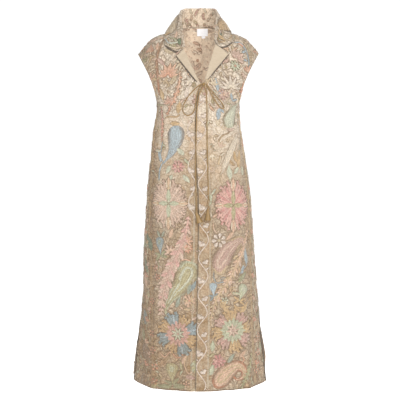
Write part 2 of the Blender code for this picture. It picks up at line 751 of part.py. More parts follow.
def cone(name, top, foot, top_half, foot_half):
    """A satin cone, closed at its top and open at its foot."""
    head = Vector((top[0], front_y(*top) - CONE_TOP_LIFT, top[1]))
    base = Vector((foot[0], front_y(*foot) - CONE_FOOT_LIFT, foot[1]))
    down = (base - head).normalized()
    across = Vector((1, 0, 0)) - down * down.x
    across.normalize()
    front = across.cross(down)
    points = [head.copy()]
    for inner in (False, True):
        rings = range(CONE_RINGS + 1) if not inner else range(CONE_RINGS, 0, -1)
        for k in rings:
            u = k / CONE_RINGS
            radius = top_half + (foot_half - top_half) * u**CONE_FLARE - (CONE_WALL if inner else 0.0)
            centre = head.lerp(base, u)
            for n in range(CONE_SIDES):
                turn = 2 * pi * n / CONE_SIDES
                depth = 1.0 + (CONE_DEPTH - 1.0) * u
                points.append(centre + across * radius * cos(turn)
                              + front * radius * depth * sin(turn))
    points.append(head.lerp(base, 0.5 / CONE_RINGS))
    faces = []
    bands = 2 * CONE_RINGS
    for n in range(CONE_SIDES):
        after = (n + 1) % CONE_SIDES
        faces.append((0, 1 + n, 1 + after))
        for band in range(bands):
            start = 1 + band * CONE_SIDES
            faces.append((start + n, start + CONE_SIDES + n,
                          start + CONE_SIDES + after, start + after))
        end = 1 + bands * CONE_SIDES
        faces.append((len(points) - 1, end + after, end + n))
    if signed_volume(points, faces) < 0:
        faces = [tuple(reversed(face)) for face in faces]
    mesh = bpy.data.meshes.new(name)
    mesh.from_pydata([tuple(p) for p in points], [], faces)
    mesh.shade_smooth()
    item = bpy.data.objects.new(name, mesh)
    bpy.context.scene.collection.objects.link(item)
    mesh.set_sharp_from_angle(angle=pi / 4)
    paint(item, SATIN, SATIN_ROUGHNESS)


# ------------------------------------------------------------------ label
def tape(name, centre_x, top, size, columns):
    """A flat tape hung against the inside of the back."""
    rows = []
    for i in range(TAPE_ROWS + 1):
        z = top - size[1] * i / TAPE_ROWS
        line = []
        for j in range(columns + 1):
            x = centre_x + size[0] * (j / columns - 0.5)
            line.append(on_back(x, z, -WALL - LABEL_CLEAR))
        rows.append(line)
    wall(name, rows, 1, 1.0, WHITE_TAPE, TAPE_ROUGHNESS, TAPE_WALL)


def main():
    clear_scene()
    body_panels()
    collar()
    lapel("lapel_right", LAPEL_RIGHT)
    lapel("lapel_left", LAPEL_LEFT)
    knot()
    cord("tie_loop_right", LOOP_RIGHT)
    cord("tie_loop_left", LOOP_LEFT)
    for side, tail in (("right", TAIL_RIGHT), ("left", TAIL_LEFT)):
        cone_name = "tie_cone_" + side
        x, z = CONES[cone_name][0]
        cord("tie_tail_" + side, tail + ((x, z + CONE_GAPS[cone_name], CONE_TOP_LIFT),))
        cone(cone_name, *CONES[cone_name])
    tape("label", LABEL_X, LABEL_TOP, LABEL_SIZE, LABEL_COLUMNS)
    tape("size_tab", TAB_X, LABEL_TOP - LABEL_SIZE[1] - SEAM, TAB_SIZE, TAB_COLUMNS)


main()
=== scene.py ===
"""Looks of the embroidered waistcoat: cloth, embroidery, satin tie, label, floor and light."""
from math import atan, atan2, cos, hypot, pi, radians, sin

import bpy
import numpy as np
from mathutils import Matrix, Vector


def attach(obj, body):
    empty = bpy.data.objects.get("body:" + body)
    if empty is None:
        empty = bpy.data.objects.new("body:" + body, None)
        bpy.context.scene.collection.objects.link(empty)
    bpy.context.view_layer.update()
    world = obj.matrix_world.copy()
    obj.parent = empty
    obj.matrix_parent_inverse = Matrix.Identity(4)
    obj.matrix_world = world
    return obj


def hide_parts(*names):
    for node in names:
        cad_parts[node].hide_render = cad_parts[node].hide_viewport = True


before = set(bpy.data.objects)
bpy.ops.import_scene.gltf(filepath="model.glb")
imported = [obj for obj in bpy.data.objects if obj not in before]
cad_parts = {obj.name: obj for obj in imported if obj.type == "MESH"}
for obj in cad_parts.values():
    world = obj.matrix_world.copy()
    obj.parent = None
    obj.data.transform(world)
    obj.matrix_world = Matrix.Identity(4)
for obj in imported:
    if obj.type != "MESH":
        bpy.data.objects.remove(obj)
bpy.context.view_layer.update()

bpy.ops.object.select_all(action="DESELECT")


def add_object(name, data):
    item = bpy.data.objects.new(name, data)
    bpy.context.scene.collection.objects.link(item)
    return item


# ---- camera
VIEW_FROM = (0.004, -3.2, -0.466)
VIEW_PITCH = 3.37        # degrees below level
VIEW_ANGLE = 2 * atan(200 / 807)    # from half the view's width over its distance
VIEW_CLIP = (0.05, 60.0)


def add_camera():
    data = bpy.data.cameras.new("view")
    data.lens_unit, data.sensor_fit, data.angle = "FOV", "HORIZONTAL", VIEW_ANGLE
    data.clip_start, data.clip_end = VIEW_CLIP
    item = add_object("view", data)
    item.location = VIEW_FROM
    item.rotation_euler = (radians(90 - VIEW_PITCH), 0.0, 0.0)
    bpy.context.scene.camera = item


add_camera()

# ---- tables
MM, TENTHS = 1000, 10000    # parts of a metre in the tables: millimetres, tenths of one


def rows_of(text, parts=1):
    """A table kept as text: rows end at semicolons or line ends, and hold numbers of parts and names."""
    def value(word):
        return float(word) / parts if word.lstrip("-")[0].isdigit() else word

    lines = text.replace(";", "\n").splitlines()
    return [[value(word) for word in line.split()] for line in lines if line.strip()]


# ---- sizes of the worn form
WALL = 0.002
SHELL = 0.0016           # the cloth's own thickness
SEAM = 0.0003
HEM_Z = -1.378
CHEST_Z = -0.288
UNDERARM_Z = -0.285
SLIT_Z = -1.090
SLIT_SPREAD_RIGHT = 0.044
SLIT_SPREAD_LEFT = 0.064
SLIT_SPREAD_BACK = 0.006
HEM_RISE = 0.018
CORNER_POWER = 2.2
NECK_POINT_X = 0.095
NECK_POINT_Z = 0.018
RIDGE_Y = 0.010
ROLL_DROP = 0.110
SIDE_GAP_Y = 0.0003
RAMP_OUTER = 0.015
RAMP_INNER = 0.002
LEAST_LAP = 0.004
LAP_TOP_Z = -0.160
LAP_TOP_FADE = 0.020
FOLD_FADE_POWER = 6
FOLD_GROWTH = 1.6
HEM_RISE_POWER = 3
SLOPE_STEP = 0.002
SIDE_SEARCH = (0.10, 0.27)
BACK_NECK_RISE = 0.018
COLLAR_START_Z = -0.066
ROLL_FOOT_Z = -0.186

# z, right half, left half, front, back
SECTIONS = rows_of("""
    60 262 256 62 84; -80 254 248 84 94; -150 225 219 101 103; -222 191 185 115 106; -262 175 169 120 104
    -285 167 160 122 102; -340 172 161 122 97; -394 182 167 120 93; -460 187 178 118 92
    -586 202 198 120 102; -714 211 210 126 115; -860 220 220 134 124; -1035 223 234 145 134
    -1140 236 244 152 140; -1260 256 267 160 146; -1378 270 284 168 152
    """, MM)
# z, right x, left x
ARMHOLE = rows_of("""
    -80 240 234; -115 221 215; -150 203 197; -186 187 181; -222 175 169; -255 168 162; -272 165 158
    -285 167 160
    """, MM)
# x, z
RIDGE = rows_of("""
    0 92; 50 66; 75 42; 95 18; 130 1; 160 -9; 190 -26; 214 -50; 240 -82
    """, MM)
# z, right x, left x
FRONT_EDGE = rows_of("""
    18 -95 95; -18 -83 81; -45 -72 71; -66 -63 66; -130 -28 44; -186 -2 27; -203 9 9; -232 30 -2; -714 30 -3
    -1378 16 -15
    """, MM)
BACK_SEAM = ((0.034, 0.016), (-0.300, 0.012), (-0.800, 0.000), (-1.378, 0.000))
# x top, z top, x low, z low, half width, height
FRONT_FOLDS = rows_of("""
    -146 -230 -160 -760 16 6; 140 -220 168 -800 16 6; -120 -700 -190 -1378 26 9; -62 -860 -84 -1378 30 -7
    70 -900 94 -1378 30 -7; 140 -720 196 -1378 27 10
    """, MM)
BACK_FOLDS = rows_of("""
    -110 -300 -170 -1378 28 10; -50 -500 -80 -1378 24 -8; 60 -460 86 -1378 26 -8; 110 -320 176 -1378 28 10
    """, MM)
SHOULDER_SHARES = (0.0, 0.03, 0.065, 0.12, 0.19, 0.27, 0.36,
                   0.46, 0.56, 0.66, 0.76, 0.85, 0.93, 1.0)


# ---- helpers on number grids
def read(table, pick, place):
    """One column of a table at places in its first column, smoothly joined."""
    rows = sorted(table)
    at = np.array([row[0] for row in rows])
    value = np.array([row[pick] for row in rows])
    rise = np.diff(value) / np.diff(at)
    slope = np.concatenate(([rise[0]], 0.5 * (rise[1:] + rise[:-1]), [rise[-1]]))
    place = np.clip(place, at[0], at[-1])
    k = np.clip(np.searchsorted(at, place, side="right") - 1, 0, len(at) - 2)
    span = at[k + 1] - at[k]
    u = (place - at[k]) / span
    return ((2 * u**3 - 3 * u**2 + 1) * value[k] + (u**3 - 2 * u**2 + u) * slope[k] * span
            + (3 * u**2 - 2 * u**3) * value[k + 1] + (u**3 - u**2) * slope[k + 1] * span)


def smooth_step(u):
    """A smooth rise from 0 to 1 as u does."""
    u = np.clip(u, 0.0, 1.0)
    return u * u * (3 - 2 * u)


def unit(vectors):
    length = np.linalg.norm(vectors, axis=-1, keepdims=True)
    return vectors / np.maximum(length, 1e-12)


def run_of(points):
    """How far along a line each of its points lies."""
    return np.concatenate(([0.0], np.cumsum(np.linalg.norm(np.diff(points, axis=0), axis=1))))


def resampled(points, count):
    """A line of points spaced evenly, one more than count."""
    run = run_of(points)
    even = np.linspace(0.0, run[-1], count + 1)
    return np.stack([np.interp(even, run, column) for column in points.T], -1)


def grain(a, b, seed):
    """Smooth random heights from -1 to 1 over a plane of unit cells."""
    cell_a, cell_b = np.floor(a).astype(int), np.floor(b).astype(int)
    ua, ub = smooth_step(a - cell_a), smooth_step(b - cell_b)

    def corner(i, j):
        mixed = (i * 73856093) ^ (j * 19349663) ^ (seed * 83492791)
        mixed = (mixed ^ (mixed >> 13)) * 1274126177 & 0x7FFFFFFF
        return (mixed % 20011) / 10005.0 - 1.0

    low = corner(cell_a, cell_b) * (1 - ua) + corner(cell_a + 1, cell_b) * ua
    high = corner(cell_a, cell_b + 1) * (1 - ua) + corner(cell_a + 1, cell_b + 1) * ua
    return low * (1 - ub) + high * ub


def half_width(x, z):
    return np.where(np.asarray(x) < 0, read(SECTIONS, 1, z), read(SECTIONS, 2, z))


def ridge_height(x):
    return read(RIDGE, 1, np.abs(x))


def fold_height(folds, x, z):
    """Height of soft folds that grow downward from their tops."""
    lift = np.zeros(np.broadcast(x, z).shape)
    for x_top, z_top, x_low, z_low, half, height in folds:
        along = (z_top - z) / (z_top - z_low)
        crest = x_top + (x_low - x_top) * along
        across = (x - crest) / half
        shape = height * smooth_step(FOLD_GROWTH * along) / (1.0 + across**2) ** 2
        lift = lift + np.where(along > 0.0, shape, 0.0)
    return lift


def depth_at(x, z, pick, folds, ridge_y):
    """How far the body stands out at (x, z): a rounded section with folds, rolled in to the shoulder."""
    start = np.minimum(z, ridge_height(x) - ROLL_DROP)
    t = np.minimum(1.0, np.abs(x) / half_width(x, z))
    full = read(SECTIONS, pick, start) * (1.0 - t**CORNER_POWER) ** (1 / CORNER_POWER)
    full = full + (1.0 - t**FOLD_FADE_POWER) * fold_height(folds, x, start)
    rounding = np.clip((z - start) / ROLL_DROP, 0.0, 1.0)
    return ridge_y + (full - ridge_y) * np.sqrt(1.0 - rounding * rounding)


def front_y(x, z):
    return -depth_at(x, z, 3, FRONT_FOLDS, -RIDGE_Y)


def back_y(x, z):
    return depth_at(x, z, 4, BACK_FOLDS, RIDGE_Y)


def lifted(depth_of, facing, x, z, lift):
    """Points of a panel's outer face moved out square to it."""
    x, z = np.asarray(x, float), np.asarray(z, float)
    step = SLOPE_STEP
    slope_x = (depth_of(x + step, z) - depth_of(x - step, z)) / (2 * step)
    slope_z = (depth_of(x, z + step) - depth_of(x, z - step)) / (2 * step)
    normal = unit(np.stack([-slope_x, np.ones_like(slope_x), -slope_z], -1)) * facing
    point = np.stack([x, depth_of(x, z), z], -1)
    return point + normal * np.asarray(lift, float)[..., None]


def sunk_from(z):
    """Where the right front starts to dip under the left one."""
    left, right = read(FRONT_EDGE, 2, z), read(FRONT_EDGE, 1, z)
    return np.minimum(left, right - LEAST_LAP) - RAMP_INNER


def sunk_front_y(x, z):
    """The right front, set back by the cloth that laps over it."""
    under = smooth_step((x - sunk_from(z)) / (RAMP_OUTER - RAMP_INNER) + 1.0)
    covered = smooth_step((LAP_TOP_Z - z) / LAP_TOP_FADE)
    return front_y(x, z) + (WALL + 2 * SEAM) * under * covered


# ---- tie: cords first
CORD_RADIUS = 0.0020
CORD_LIFT = 0.0028
CORD_STEP = 0.0055
TIE_ROUTES = {           # x, z, and a height above the cloth where it isn't CORD_LIFT: tenths of a millimetre
    "tie_loop_right": """
        100 -2062 58; 40 -2092 44; -40 -2150; -180 -2275; -330 -2440; -480 -2640; -590 -2880; -615 -3050
        -560 -3190; -420 -3260; -270 -3200; -175 -3060; -130 -2850; -105 -2640; -70 -2430; -10 -2260
        58 -2165 40; 98 -2122 56
        """,
    "tie_loop_left": """
        260 -2062 60; 340 -2130 50; 460 -2310; 680 -2560; 870 -2770; 945 -2925; 900 -3000; 790 -2935
        620 -2700; 460 -2430; 350 -2235 40; 262 -2122 56
        """,
    "tie_tail_right": """
        160 -2150 56; 128 -2210 42; 81 -2300; 20 -2450; -30 -2650; -62 -2900; -92 -3400; -110 -4200
        -122 -5200; -116 -6200; -109 -6740 40; -102 -6940 56
        """,
    "tie_tail_left": """
        207 -2151 56; 240 -2260 40; 285 -2480; 302 -2900; 306 -3800; 320 -4800; 350 -5800; 352 -6300
        347 -6620 40; 345 -6804 56
        """,
}
CONES = {                # top and foot centres (x, z) and the two half widths
    "tie_cone_right": ((-0.0102, -0.6950), (0.0035, -0.7340), 0.0045, 0.0130),
    "tie_cone_left": ((0.0345, -0.6810), (0.0335, -0.7250), 0.0036, 0.0115),
}
CONE_TOP_LIFT = 0.0056
CONE_FOOT_LIFT = 0.0096
CONE_WALL = 0.0011
CONE_DEPTH = 0.62
CONE_FLARE = 1.2
CONE_HEM = 0.0004        # the turned hem's extra thickness
CONE_SIDES, CONE_RINGS = 40, 16
KNOT_CENTRE = (0.0180, -0.2080)
KNOT_HALF = (0.0065, 0.0050, 0.0055)
KNOT_LIFT = 0.0058
KNOT_CORE = 0.92         # the core's share of the knot, under the turns of cord
KNOT_TURNS = ((0.35, -0.0012), (0.15, 0.0022))    # lean and shift of each turn
TURN_RADIUS = 0.0015
TURN_STEPS = 24
CURVE_SAMPLES = 12       # points on a curve from one given place to the next


def smooth_route(points, step):
    """Even points along a smooth curve through the route's points."""
    points = np.array(points)
    fine = []
    last = len(points) - 1
    for k in range(last):
        a, b = points[max(k - 1, 0)], points[k]
        c, d = points[k + 1], points[min(k + 2, last)]
        for n in range(CURVE_SAMPLES):
            u = n / CURVE_SAMPLES
            fine.append(0.5 * (2 * b + (c - a) * u + (2 * a - 5 * b + 4 * c - d) * u**2
                               + (3 * b - a - 3 * c + d) * u**3))
    fine.append(points[last])
    fine = np.array(fine)
    return resampled(fine, max(2, round(run_of(fine)[-1] / step)))


def cord_points(name):
    """The cord's centre line: its own heights at the knot, and CORD_LIFT where it lies on the cloth."""
    x, z, lift = np.array([(row + [CORD_LIFT])[:3] for row in rows_of(TIE_ROUTES[name], TENTHS)]).T
    return smooth_route(np.stack([x, front_y(x, z) - lift, z], -1), CORD_STEP)


# ---- materials
STITCH_LENGTH = 0.0026
THREAD_ROW = 0.0088      # from one laid row of thread to the next
ROW_START = 0.9          # of a row, where the first one crests
# painted highlight on the crest of each row of thread
ROW_HIGHLIGHT = (1.30, 1.27, 1.24, 1.0)


def linear(rgb):
    return tuple(((c / 255 + 0.055) / 1.055) ** 2.4 for c in rgb) + (1.0,)


class Graph:
    """Short ways to add nodes to a tree. A colour of three numbers is red, green and blue out of 255."""

    def __init__(self, tree, shader=None):
        self.tree, self.shader = tree, shader

    def feed(self, node, values):
        """Set or link a node's inputs, by name or number."""
        for slot, value in values.items():
            if isinstance(value, bpy.types.NodeSocket):
                self.tree.links.new(value, node.inputs[slot])
            else:
                node.inputs[slot].default_value = value
        return node.outputs

    def node(self, kind, values=(), **settings):
        node = self.tree.nodes.new("ShaderNode" + kind)
        for name, value in settings.items():
            setattr(node, name, value)
        return self.feed(node, dict(values))

    def math(self, operation, *values, clamp=False):
        return self.node("Math", enumerate(values), operation=operation, use_clamp=clamp)[0]

    def times(self, first, second):
        return self.math("MULTIPLY", first, second)

    def plus(self, value, slope, start):
        return self.math("MULTIPLY_ADD", value, slope, start)

    def ramp(self, value, slope, start):
        """The same, kept between 0 and 1."""
        return self.math("MULTIPLY_ADD", value, slope, start, clamp=True)

    def near(self, distance, width):
        """1 on a line, falling to 0 at a width from it."""
        return self.math("SUBTRACT", 1.0, self.math("DIVIDE", distance, width), clamp=True)

    def mix(self, share, first, second, blend="MIX"):
        first, second = (linear(c) if isinstance(c, tuple) and len(c) == 3 else c for c in (first, second))
        return self.node("Mix", {0: share, 6: first, 7: second}, data_type="RGBA", blend_type=blend)[2]

    def layered(self, colour, layers):
        """A colour with others laid over it in turn: rows of where, how much, and the other colour."""
        for mask, share, other, *blend in layers:
            colour = self.mix(self.times(mask, share), colour, other, *blend)
        return colour

    def noise(self, place, scale, detail=2.0):
        return self.node("TexNoise", {"Vector": place, "Scale": scale, "Detail": detail})

    def cells(self, place, scale, feature="F1"):
        return self.node("TexVoronoi", {"Vector": place, "Scale": scale}, feature=feature)

    def bent(self, place, scale, reach):
        """A place pushed about by slow noise."""
        shift = self.noise(place, scale, 1.0)["Color"]
        return self.node("VectorMath", {0: shift, 1: (reach,) * 3, 2: place}, operation="MULTIPLY_ADD")[0]

    def named(self, name, output="Fac"):
        """A value kept at the mesh's points."""
        return self.node("Attribute", attribute_name=name)[output]

    def surface(self, colour, height, strength, distance):
        """Give the shader its colour, and its normal from a height."""
        bump = self.node("Bump", {"Height": height, "Strength": strength, "Distance": distance})
        self.feed(self.shader, {"Base Color": colour, "Normal": bump["Normal"]})


def new_group(name, inputs, outputs):
    """A shared group of nodes: its graph, what it is given, and the node that takes its results."""
    tree = bpy.data.node_groups.new(name, "ShaderNodeTree")
    for title, kind, value in inputs:
        socket = tree.interface.new_socket(title, in_out="INPUT", socket_type="NodeSocket" + kind)
        if value is not None:
            socket.default_value = value
    for title, kind in outputs:
        tree.interface.new_socket(title, in_out="OUTPUT", socket_type="NodeSocket" + kind)
    return Graph(tree), tree.nodes.new("NodeGroupInput").outputs, tree.nodes.new("NodeGroupOutput")


def ground_group():
    """Linen worked all over tone on tone: outlined patches, each filled with rows that follow its edge. Its
    dark outlines and flowing lines are partly stitching and partly painted shade in the puckered furrows, and
    low tone, which holds painted side shade, darkens it further.
    """
    graph, given, result = new_group(
        "worked_linen", (("Flat", "Vector", None), ("Tone", "Float", 0.5), ("Worked", "Float", 1.0)),
        (("Color", "Color"), ("Height", "Float")))
    flat, tone, worked = (given[name] for name in ("Flat", "Tone", "Worked"))

    def patches(place, scale, width, row):
        """Outline, rows inside it and chance values for each patch."""
        depth = graph.cells(place, scale, "DISTANCE_TO_EDGE")["Distance"]
        rows = graph.math("SINE", graph.times(depth, 2 * pi / row))
        chance = graph.cells(place, scale)["Color"]
        return graph.near(depth, width), rows, graph.node("SeparateColor", {0: chance})

    wide_line, wide_rows, wide_chance = patches(graph.bent(flat, 26.0, 0.040), 36.0, 0.075, 0.15)
    fine_line, fine_rows, fine_chance = patches(graph.bent(flat, 70.0, 0.016), 105.0, 0.13, 0.30)
    level = graph.times(graph.noise(flat, 21.0, 0.0)["Fac"], 8.0)
    flow = graph.near(graph.math("PINGPONG", level, 0.5), 0.11)
    line = graph.math("MAXIMUM", wide_line, graph.times(flow, 0.75))
    line = graph.math("MAXIMUM", line, graph.times(fine_line, 0.40))
    line = graph.times(line, worked)
    rows = graph.plus(graph.math("ADD", wide_rows, fine_rows), 0.25, 0.5)
    broad, middle, small = (graph.noise(flat, scale)["Fac"] for scale in (9.0, 42.0, 165.0))
    shade = graph.layered(graph.mix(tone, (148, 122, 88), (224, 213, 197)), (
        (broad, 0.30, (206, 176, 138)),
        (wide_chance[0], 0.32, (230, 220, 204)),
        (graph.ramp(wide_chance[1], 1.5, -0.9), 0.45, (216, 177, 140)),
        (graph.ramp(middle, 2.2, -0.95), 0.40, (234, 226, 212)),
        (graph.times(graph.ramp(fine_chance[0], 1.6, -0.80), worked), 0.40, (150, 122, 86)),
        (graph.times(rows, worked), 0.24, (140, 110, 74)),
        # painted shade in the furrows along the outlines and flowing lines, over their stitching
        (line, 0.78, (92, 72, 50)),
        (graph.ramp(small, 2.8, -1.20), 0.46, (112, 90, 64)),
        (graph.ramp(small, -2.8, 1.45), 0.30, (246, 238, 222)),
        # low tone darkens the linen; that tone holds painted shade at the sides
        (graph.ramp(tone, -1.0, 0.8), 0.58, (190, 168, 134), "MULTIPLY")))
    height = graph.plus(line, -1.0, graph.times(small, 0.3))
    height = graph.plus(rows, -0.35, graph.plus(middle, 0.9, height))
    graph.feed(result, {"Color": shade, "Height": height})
    return graph.tree


def weave_group():
    """Height and slubs of a plain weave of crossing threads."""
    graph, given, result = new_group(
        "plain_weave", (("Flat", "Vector", None), ("Threads", "Float", 900.0)),
        (("Height", "Float"), ("Slub", "Float")))
    parts = graph.node("SeparateXYZ", {0: given["Flat"]})
    turns = [graph.times(graph.times(parts[axis], given["Threads"]), 2 * pi) for axis in (0, 1)]
    waves = [graph.math("SINE", turn) for turn in turns]
    height = graph.plus(waves[1], 0.25, graph.plus(waves[0], 0.25, 0.5))
    stretch = graph.node("Mapping", {"Vector": given["Flat"], "Scale": (40.0, 420.0, 1.0)})[0]
    graph.feed(result, {"Height": height, "Slub": graph.noise(stretch, 1.0)["Fac"]})
    return graph.tree


def stitch_group():
    """Colour and height of laid stitches, with painted shade between stitches, between rows and in the
    furrows, and a painted highlight on each row's crest; Stitch runs along x and across y, in metres.
    """
    graph, given, result = new_group(
        "thread_stitches",
        (("Stitch", "Vector", None), ("Thread", "Color", (0.5, 0.5, 0.5, 1.0)), ("Place", "Vector", None)),
        (("Color", "Color"), ("Height", "Float")))
    stitch, thread, place = (given[name] for name in ("Stitch", "Thread", "Place"))
    parts = graph.node("SeparateXYZ", {0: stitch})
    lean = graph.math("ABSOLUTE", parts[1])
    wave = graph.math("SINE", graph.times(graph.plus(lean, -0.8, parts[0]), 2 * pi / STITCH_LENGTH))
    uneven = graph.noise(stitch, 420.0, 1.0)["Fac"]
    cells = graph.cells(graph.bent(stitch, 120.0, 0.010), 150.0, "DISTANCE_TO_EDGE")
    furrow = graph.near(cells["Distance"], 0.15)
    height = graph.plus(furrow, -1.4, graph.plus(uneven, 0.5, graph.plus(wave, 0.5, 0.5)))
    deep = graph.mix(0.42, thread, (70, 50, 30), "MULTIPLY")
    rows = graph.plus(graph.noise(place, 60.0, 1.0)["Fac"], 0.016, lean)
    ridge = graph.math("COSINE", graph.plus(rows, 2 * pi / THREAD_ROW, -2 * pi * ROW_START))
    tinted = graph.noise(place, 170.0)["Fac"]
    # painted shade in the hollows between stitches and rows and in the furrows, painted highlight on the
    # rows' crests; the pale and dark flecks are random tone
    colour = graph.layered(thread, (
        (graph.ramp(wave, -0.5, 0.5), 0.38, deep),
        (graph.plus(ridge, -0.5, 0.5), 0.50, deep),
        (graph.plus(ridge, 0.5, 0.5), 0.45, ROW_HIGHLIGHT, "MULTIPLY"),
        (graph.ramp(uneven, 0.9, -0.2), 0.35, (240, 226, 204)),
        (furrow, 0.40, (106, 80, 52)),
        (graph.ramp(tinted, 2.8, -1.25), 0.22, (104, 80, 56)),
        (graph.ramp(tinted, -2.8, 1.40), 0.24, (250, 242, 228))))
    graph.feed(result, {"Color": colour, "Height": height})
    return graph.tree


WEAVE = weave_group()


def new_material(name, roughness, sheen=0.0, sheen_roughness=0.5):
    material = bpy.data.materials.new(name)
    material.use_nodes = True
    graph = Graph(material.node_tree, material.node_tree.nodes["Principled BSDF"])
    graph.feed(graph.shader, {"Roughness": roughness, "Sheen Weight": sheen,
                              "Sheen Roughness": sheen_roughness})
    return material, graph


def worked_linen():
    material, graph = new_material("worked_linen", 0.86, 0.12)
    given = {"Flat": graph.named("flat", "Vector"), "Tone": graph.named("tone"),
             "Worked": graph.named("worked")}
    ground = graph.node("Group", node_tree=ground_group(), values=given)
    # inside faces mix toward a pale linen: partly the cloth's plainer reverse, partly painted light where the
    # inside lies in shade
    inside = graph.times(graph.named("inside"), 0.80)
    graph.surface(graph.mix(inside, ground["Color"], (236, 214, 188)), ground["Height"], 0.9, 0.0022)
    return material


def embroidery_thread():
    material, graph = new_material("embroidery_thread", 0.62, 0.2, 0.35)
    given = {"Stitch": graph.named("stitch", "Vector"), "Thread": graph.named("thread", "Color"),
             "Place": graph.node("TexCoord")["Object"]}
    stitches = graph.node("Group", node_tree=stitch_group(), values=given)
    graph.surface(stitches["Color"], stitches["Height"], 0.8, 0.0010)
    return material


def woven(name, roughness, sheen, threads, first, second, strength, distance):
    """A plain woven cloth in two tones."""
    material, graph = new_material(name, roughness, sheen)
    given = {"Flat": graph.named("flat", "Vector"), "Threads": threads}
    weave = graph.node("Group", node_tree=WEAVE, values=given)
    graph.surface(graph.mix(weave["Slub"], first, second), weave["Height"], strength, distance)
    return material


def tie_satin():
    material, graph = new_material("tie_satin", 0.36, 0.15, 0.3)
    place = graph.node("TexCoord")["Object"]
    colour = graph.mix(graph.noise(place, 70.0)["Fac"], (108, 80, 38), (160, 130, 82))
    graph.surface(colour, graph.noise(place, 900.0)["Fac"], 0.25, 0.0003)
    return material


LINEN = worked_linen()
THREAD = embroidery_thread()
FACING = woven("plain_facing", 0.8, 0.1, 900.0, (191, 176, 155), (162, 145, 121), 0.35, 0.0004)
SATIN = tie_satin()
TAPE = woven("label_tape", 0.6, 0.0, 1400.0, (250, 250, 252), (236, 236, 240), 0.2, 0.0002)
LAYERS = {1: ("FLOAT", "value"), 3: ("FLOAT_VECTOR", "vector"), 4: ("FLOAT_COLOR", "color")}


def dress(item, material, nodes=()):
    """Give a piece its material and body, and hide the model's nodes that it stands for."""
    item.data.materials.append(material)
    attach(item, "root")
    if nodes:
        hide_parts(*nodes)


def mesh_item(name, points, faces, values=(), sharp=pi / 4):
    """A mesh piece from arrays; values are named numbers, vectors or colours at its points."""
    mesh = bpy.data.meshes.new(name)
    mesh.from_pydata(points.tolist(), [], faces if isinstance(faces, list) else faces.tolist())
    for title, value in values:
        kind, slot = LAYERS[value.shape[1] if value.ndim > 1 else 1]
        layer = mesh.attributes.new(title, kind, "POINT")
        layer.data.foreach_set(slot, value.astype(np.float32).ravel())
    mesh.validate()
    mesh.shade_smooth()
    mesh.set_sharp_from_angle(angle=sharp)
    return add_object(name, mesh)


# ---- cloth grids
FIND_REACH = 1.5         # how many cells a found place may lie from the nearest point


def grid_normals(grid):
    """Normals of a grid of points; rows' ends are kept true to their curve."""
    along = np.empty_like(grid)
    along[:, 1:-1] = grid[:, 2:] - grid[:, :-2]
    along[:, 0] = 4 * grid[:, 1] - 3 * grid[:, 0] - grid[:, 2]
    along[:, -1] = -(4 * grid[:, -2] - 3 * grid[:, -1] - grid[:, -3])
    up = np.empty_like(grid)
    up[1:-1] = grid[2:] - grid[:-2]
    up[0] = grid[1] - grid[0]
    up[-1] = grid[-1] - grid[-2]
    return unit(np.cross(along, up))


def grid_faces(number):
    """The quads of a grid of numbered points."""
    return np.stack([number[:-1, :-1], number[:-1, 1:], number[1:, 1:], number[1:, :-1]], -1).reshape(-1, 4)


class Cloth:
    """A cloth face as a grid of points, with its flat coordinates, for work laid on it.

    across holds each point's distance along its row, evenly spaced, and along
    each row's own distance up the cloth.
    """

    def __init__(self, points, normals, across, along):
        self.points, self.normals = points, normals
        self.across, self.along = across, along

    def lay(self, s, t, lift):
        """Points at flat places (s, t), raised above the cloth; and which of them lie on it."""
        high, wide = self.points.shape[:2]
        row = np.interp(t, self.along, np.arange(high))
        i = np.clip(row.astype(int), 0, high - 2)
        u = row - i
        low, top = (self.across[i, end] * (1 - u) + self.across[i + 1, end] * u for end in (0, -1))
        u = u[..., None]
        column = (s - low) / (top - low) * (wide - 1)
        inside = (column >= 0) & (column <= wide - 1) & (t >= self.along[0]) & (t <= self.along[-1])
        column = np.clip(column, 0, wide - 1)
        j = np.clip(column.astype(int), 0, wide - 2)
        v = (column - j)[..., None]

        def mixed(grid):
            lower = grid[i, j] * (1 - v) + grid[i, j + 1] * v
            upper = grid[i + 1, j] * (1 - v) + grid[i + 1, j + 1] * v
            return lower * (1 - u) + upper * u

        normal = unit(mixed(self.normals))
        return mixed(self.points) + normal * np.asarray(lift, float)[..., None], inside

    def find(self, x, z):
        """Flat place of the cloth's point seen at (x, z) in the front view."""
        gap = (self.points[..., 0] - x) ** 2 + (self.points[..., 2] - z) ** 2
        i, j = np.unravel_index(np.argmin(gap), gap.shape)
        i = min(max(i, 1), self.points.shape[0] - 2)
        j = min(max(j, 1), self.points.shape[1] - 2)
        side = (self.points[i, j + 1] - self.points[i, j - 1]) / 2
        up = (self.points[i + 1, j] - self.points[i - 1, j]) / 2
        slopes = np.array([[side[0], up[0]], [side[2], up[2]]])
        aim = np.array([x - self.points[i, j, 0], z - self.points[i, j, 2]])
        move = np.clip(np.linalg.solve(slopes, aim), -FIND_REACH, FIND_REACH)
        s = self.across[i, j] + move[0] * (self.across[i, j + 1] - self.across[i, j - 1]) / 2
        t = self.along[i] + move[1] * (self.along[i + 1] - self.along[i - 1]) / 2
        return float(s), float(t)

    def edge_at(self, t):
        """Flat distance of the inner edge at heights."""
        return np.interp(t, self.along, self.across[:, 0])

    def side_at(self, t):
        """Flat distance of the outer edge at heights."""
        return np.interp(t, self.along, self.across[:, -1])


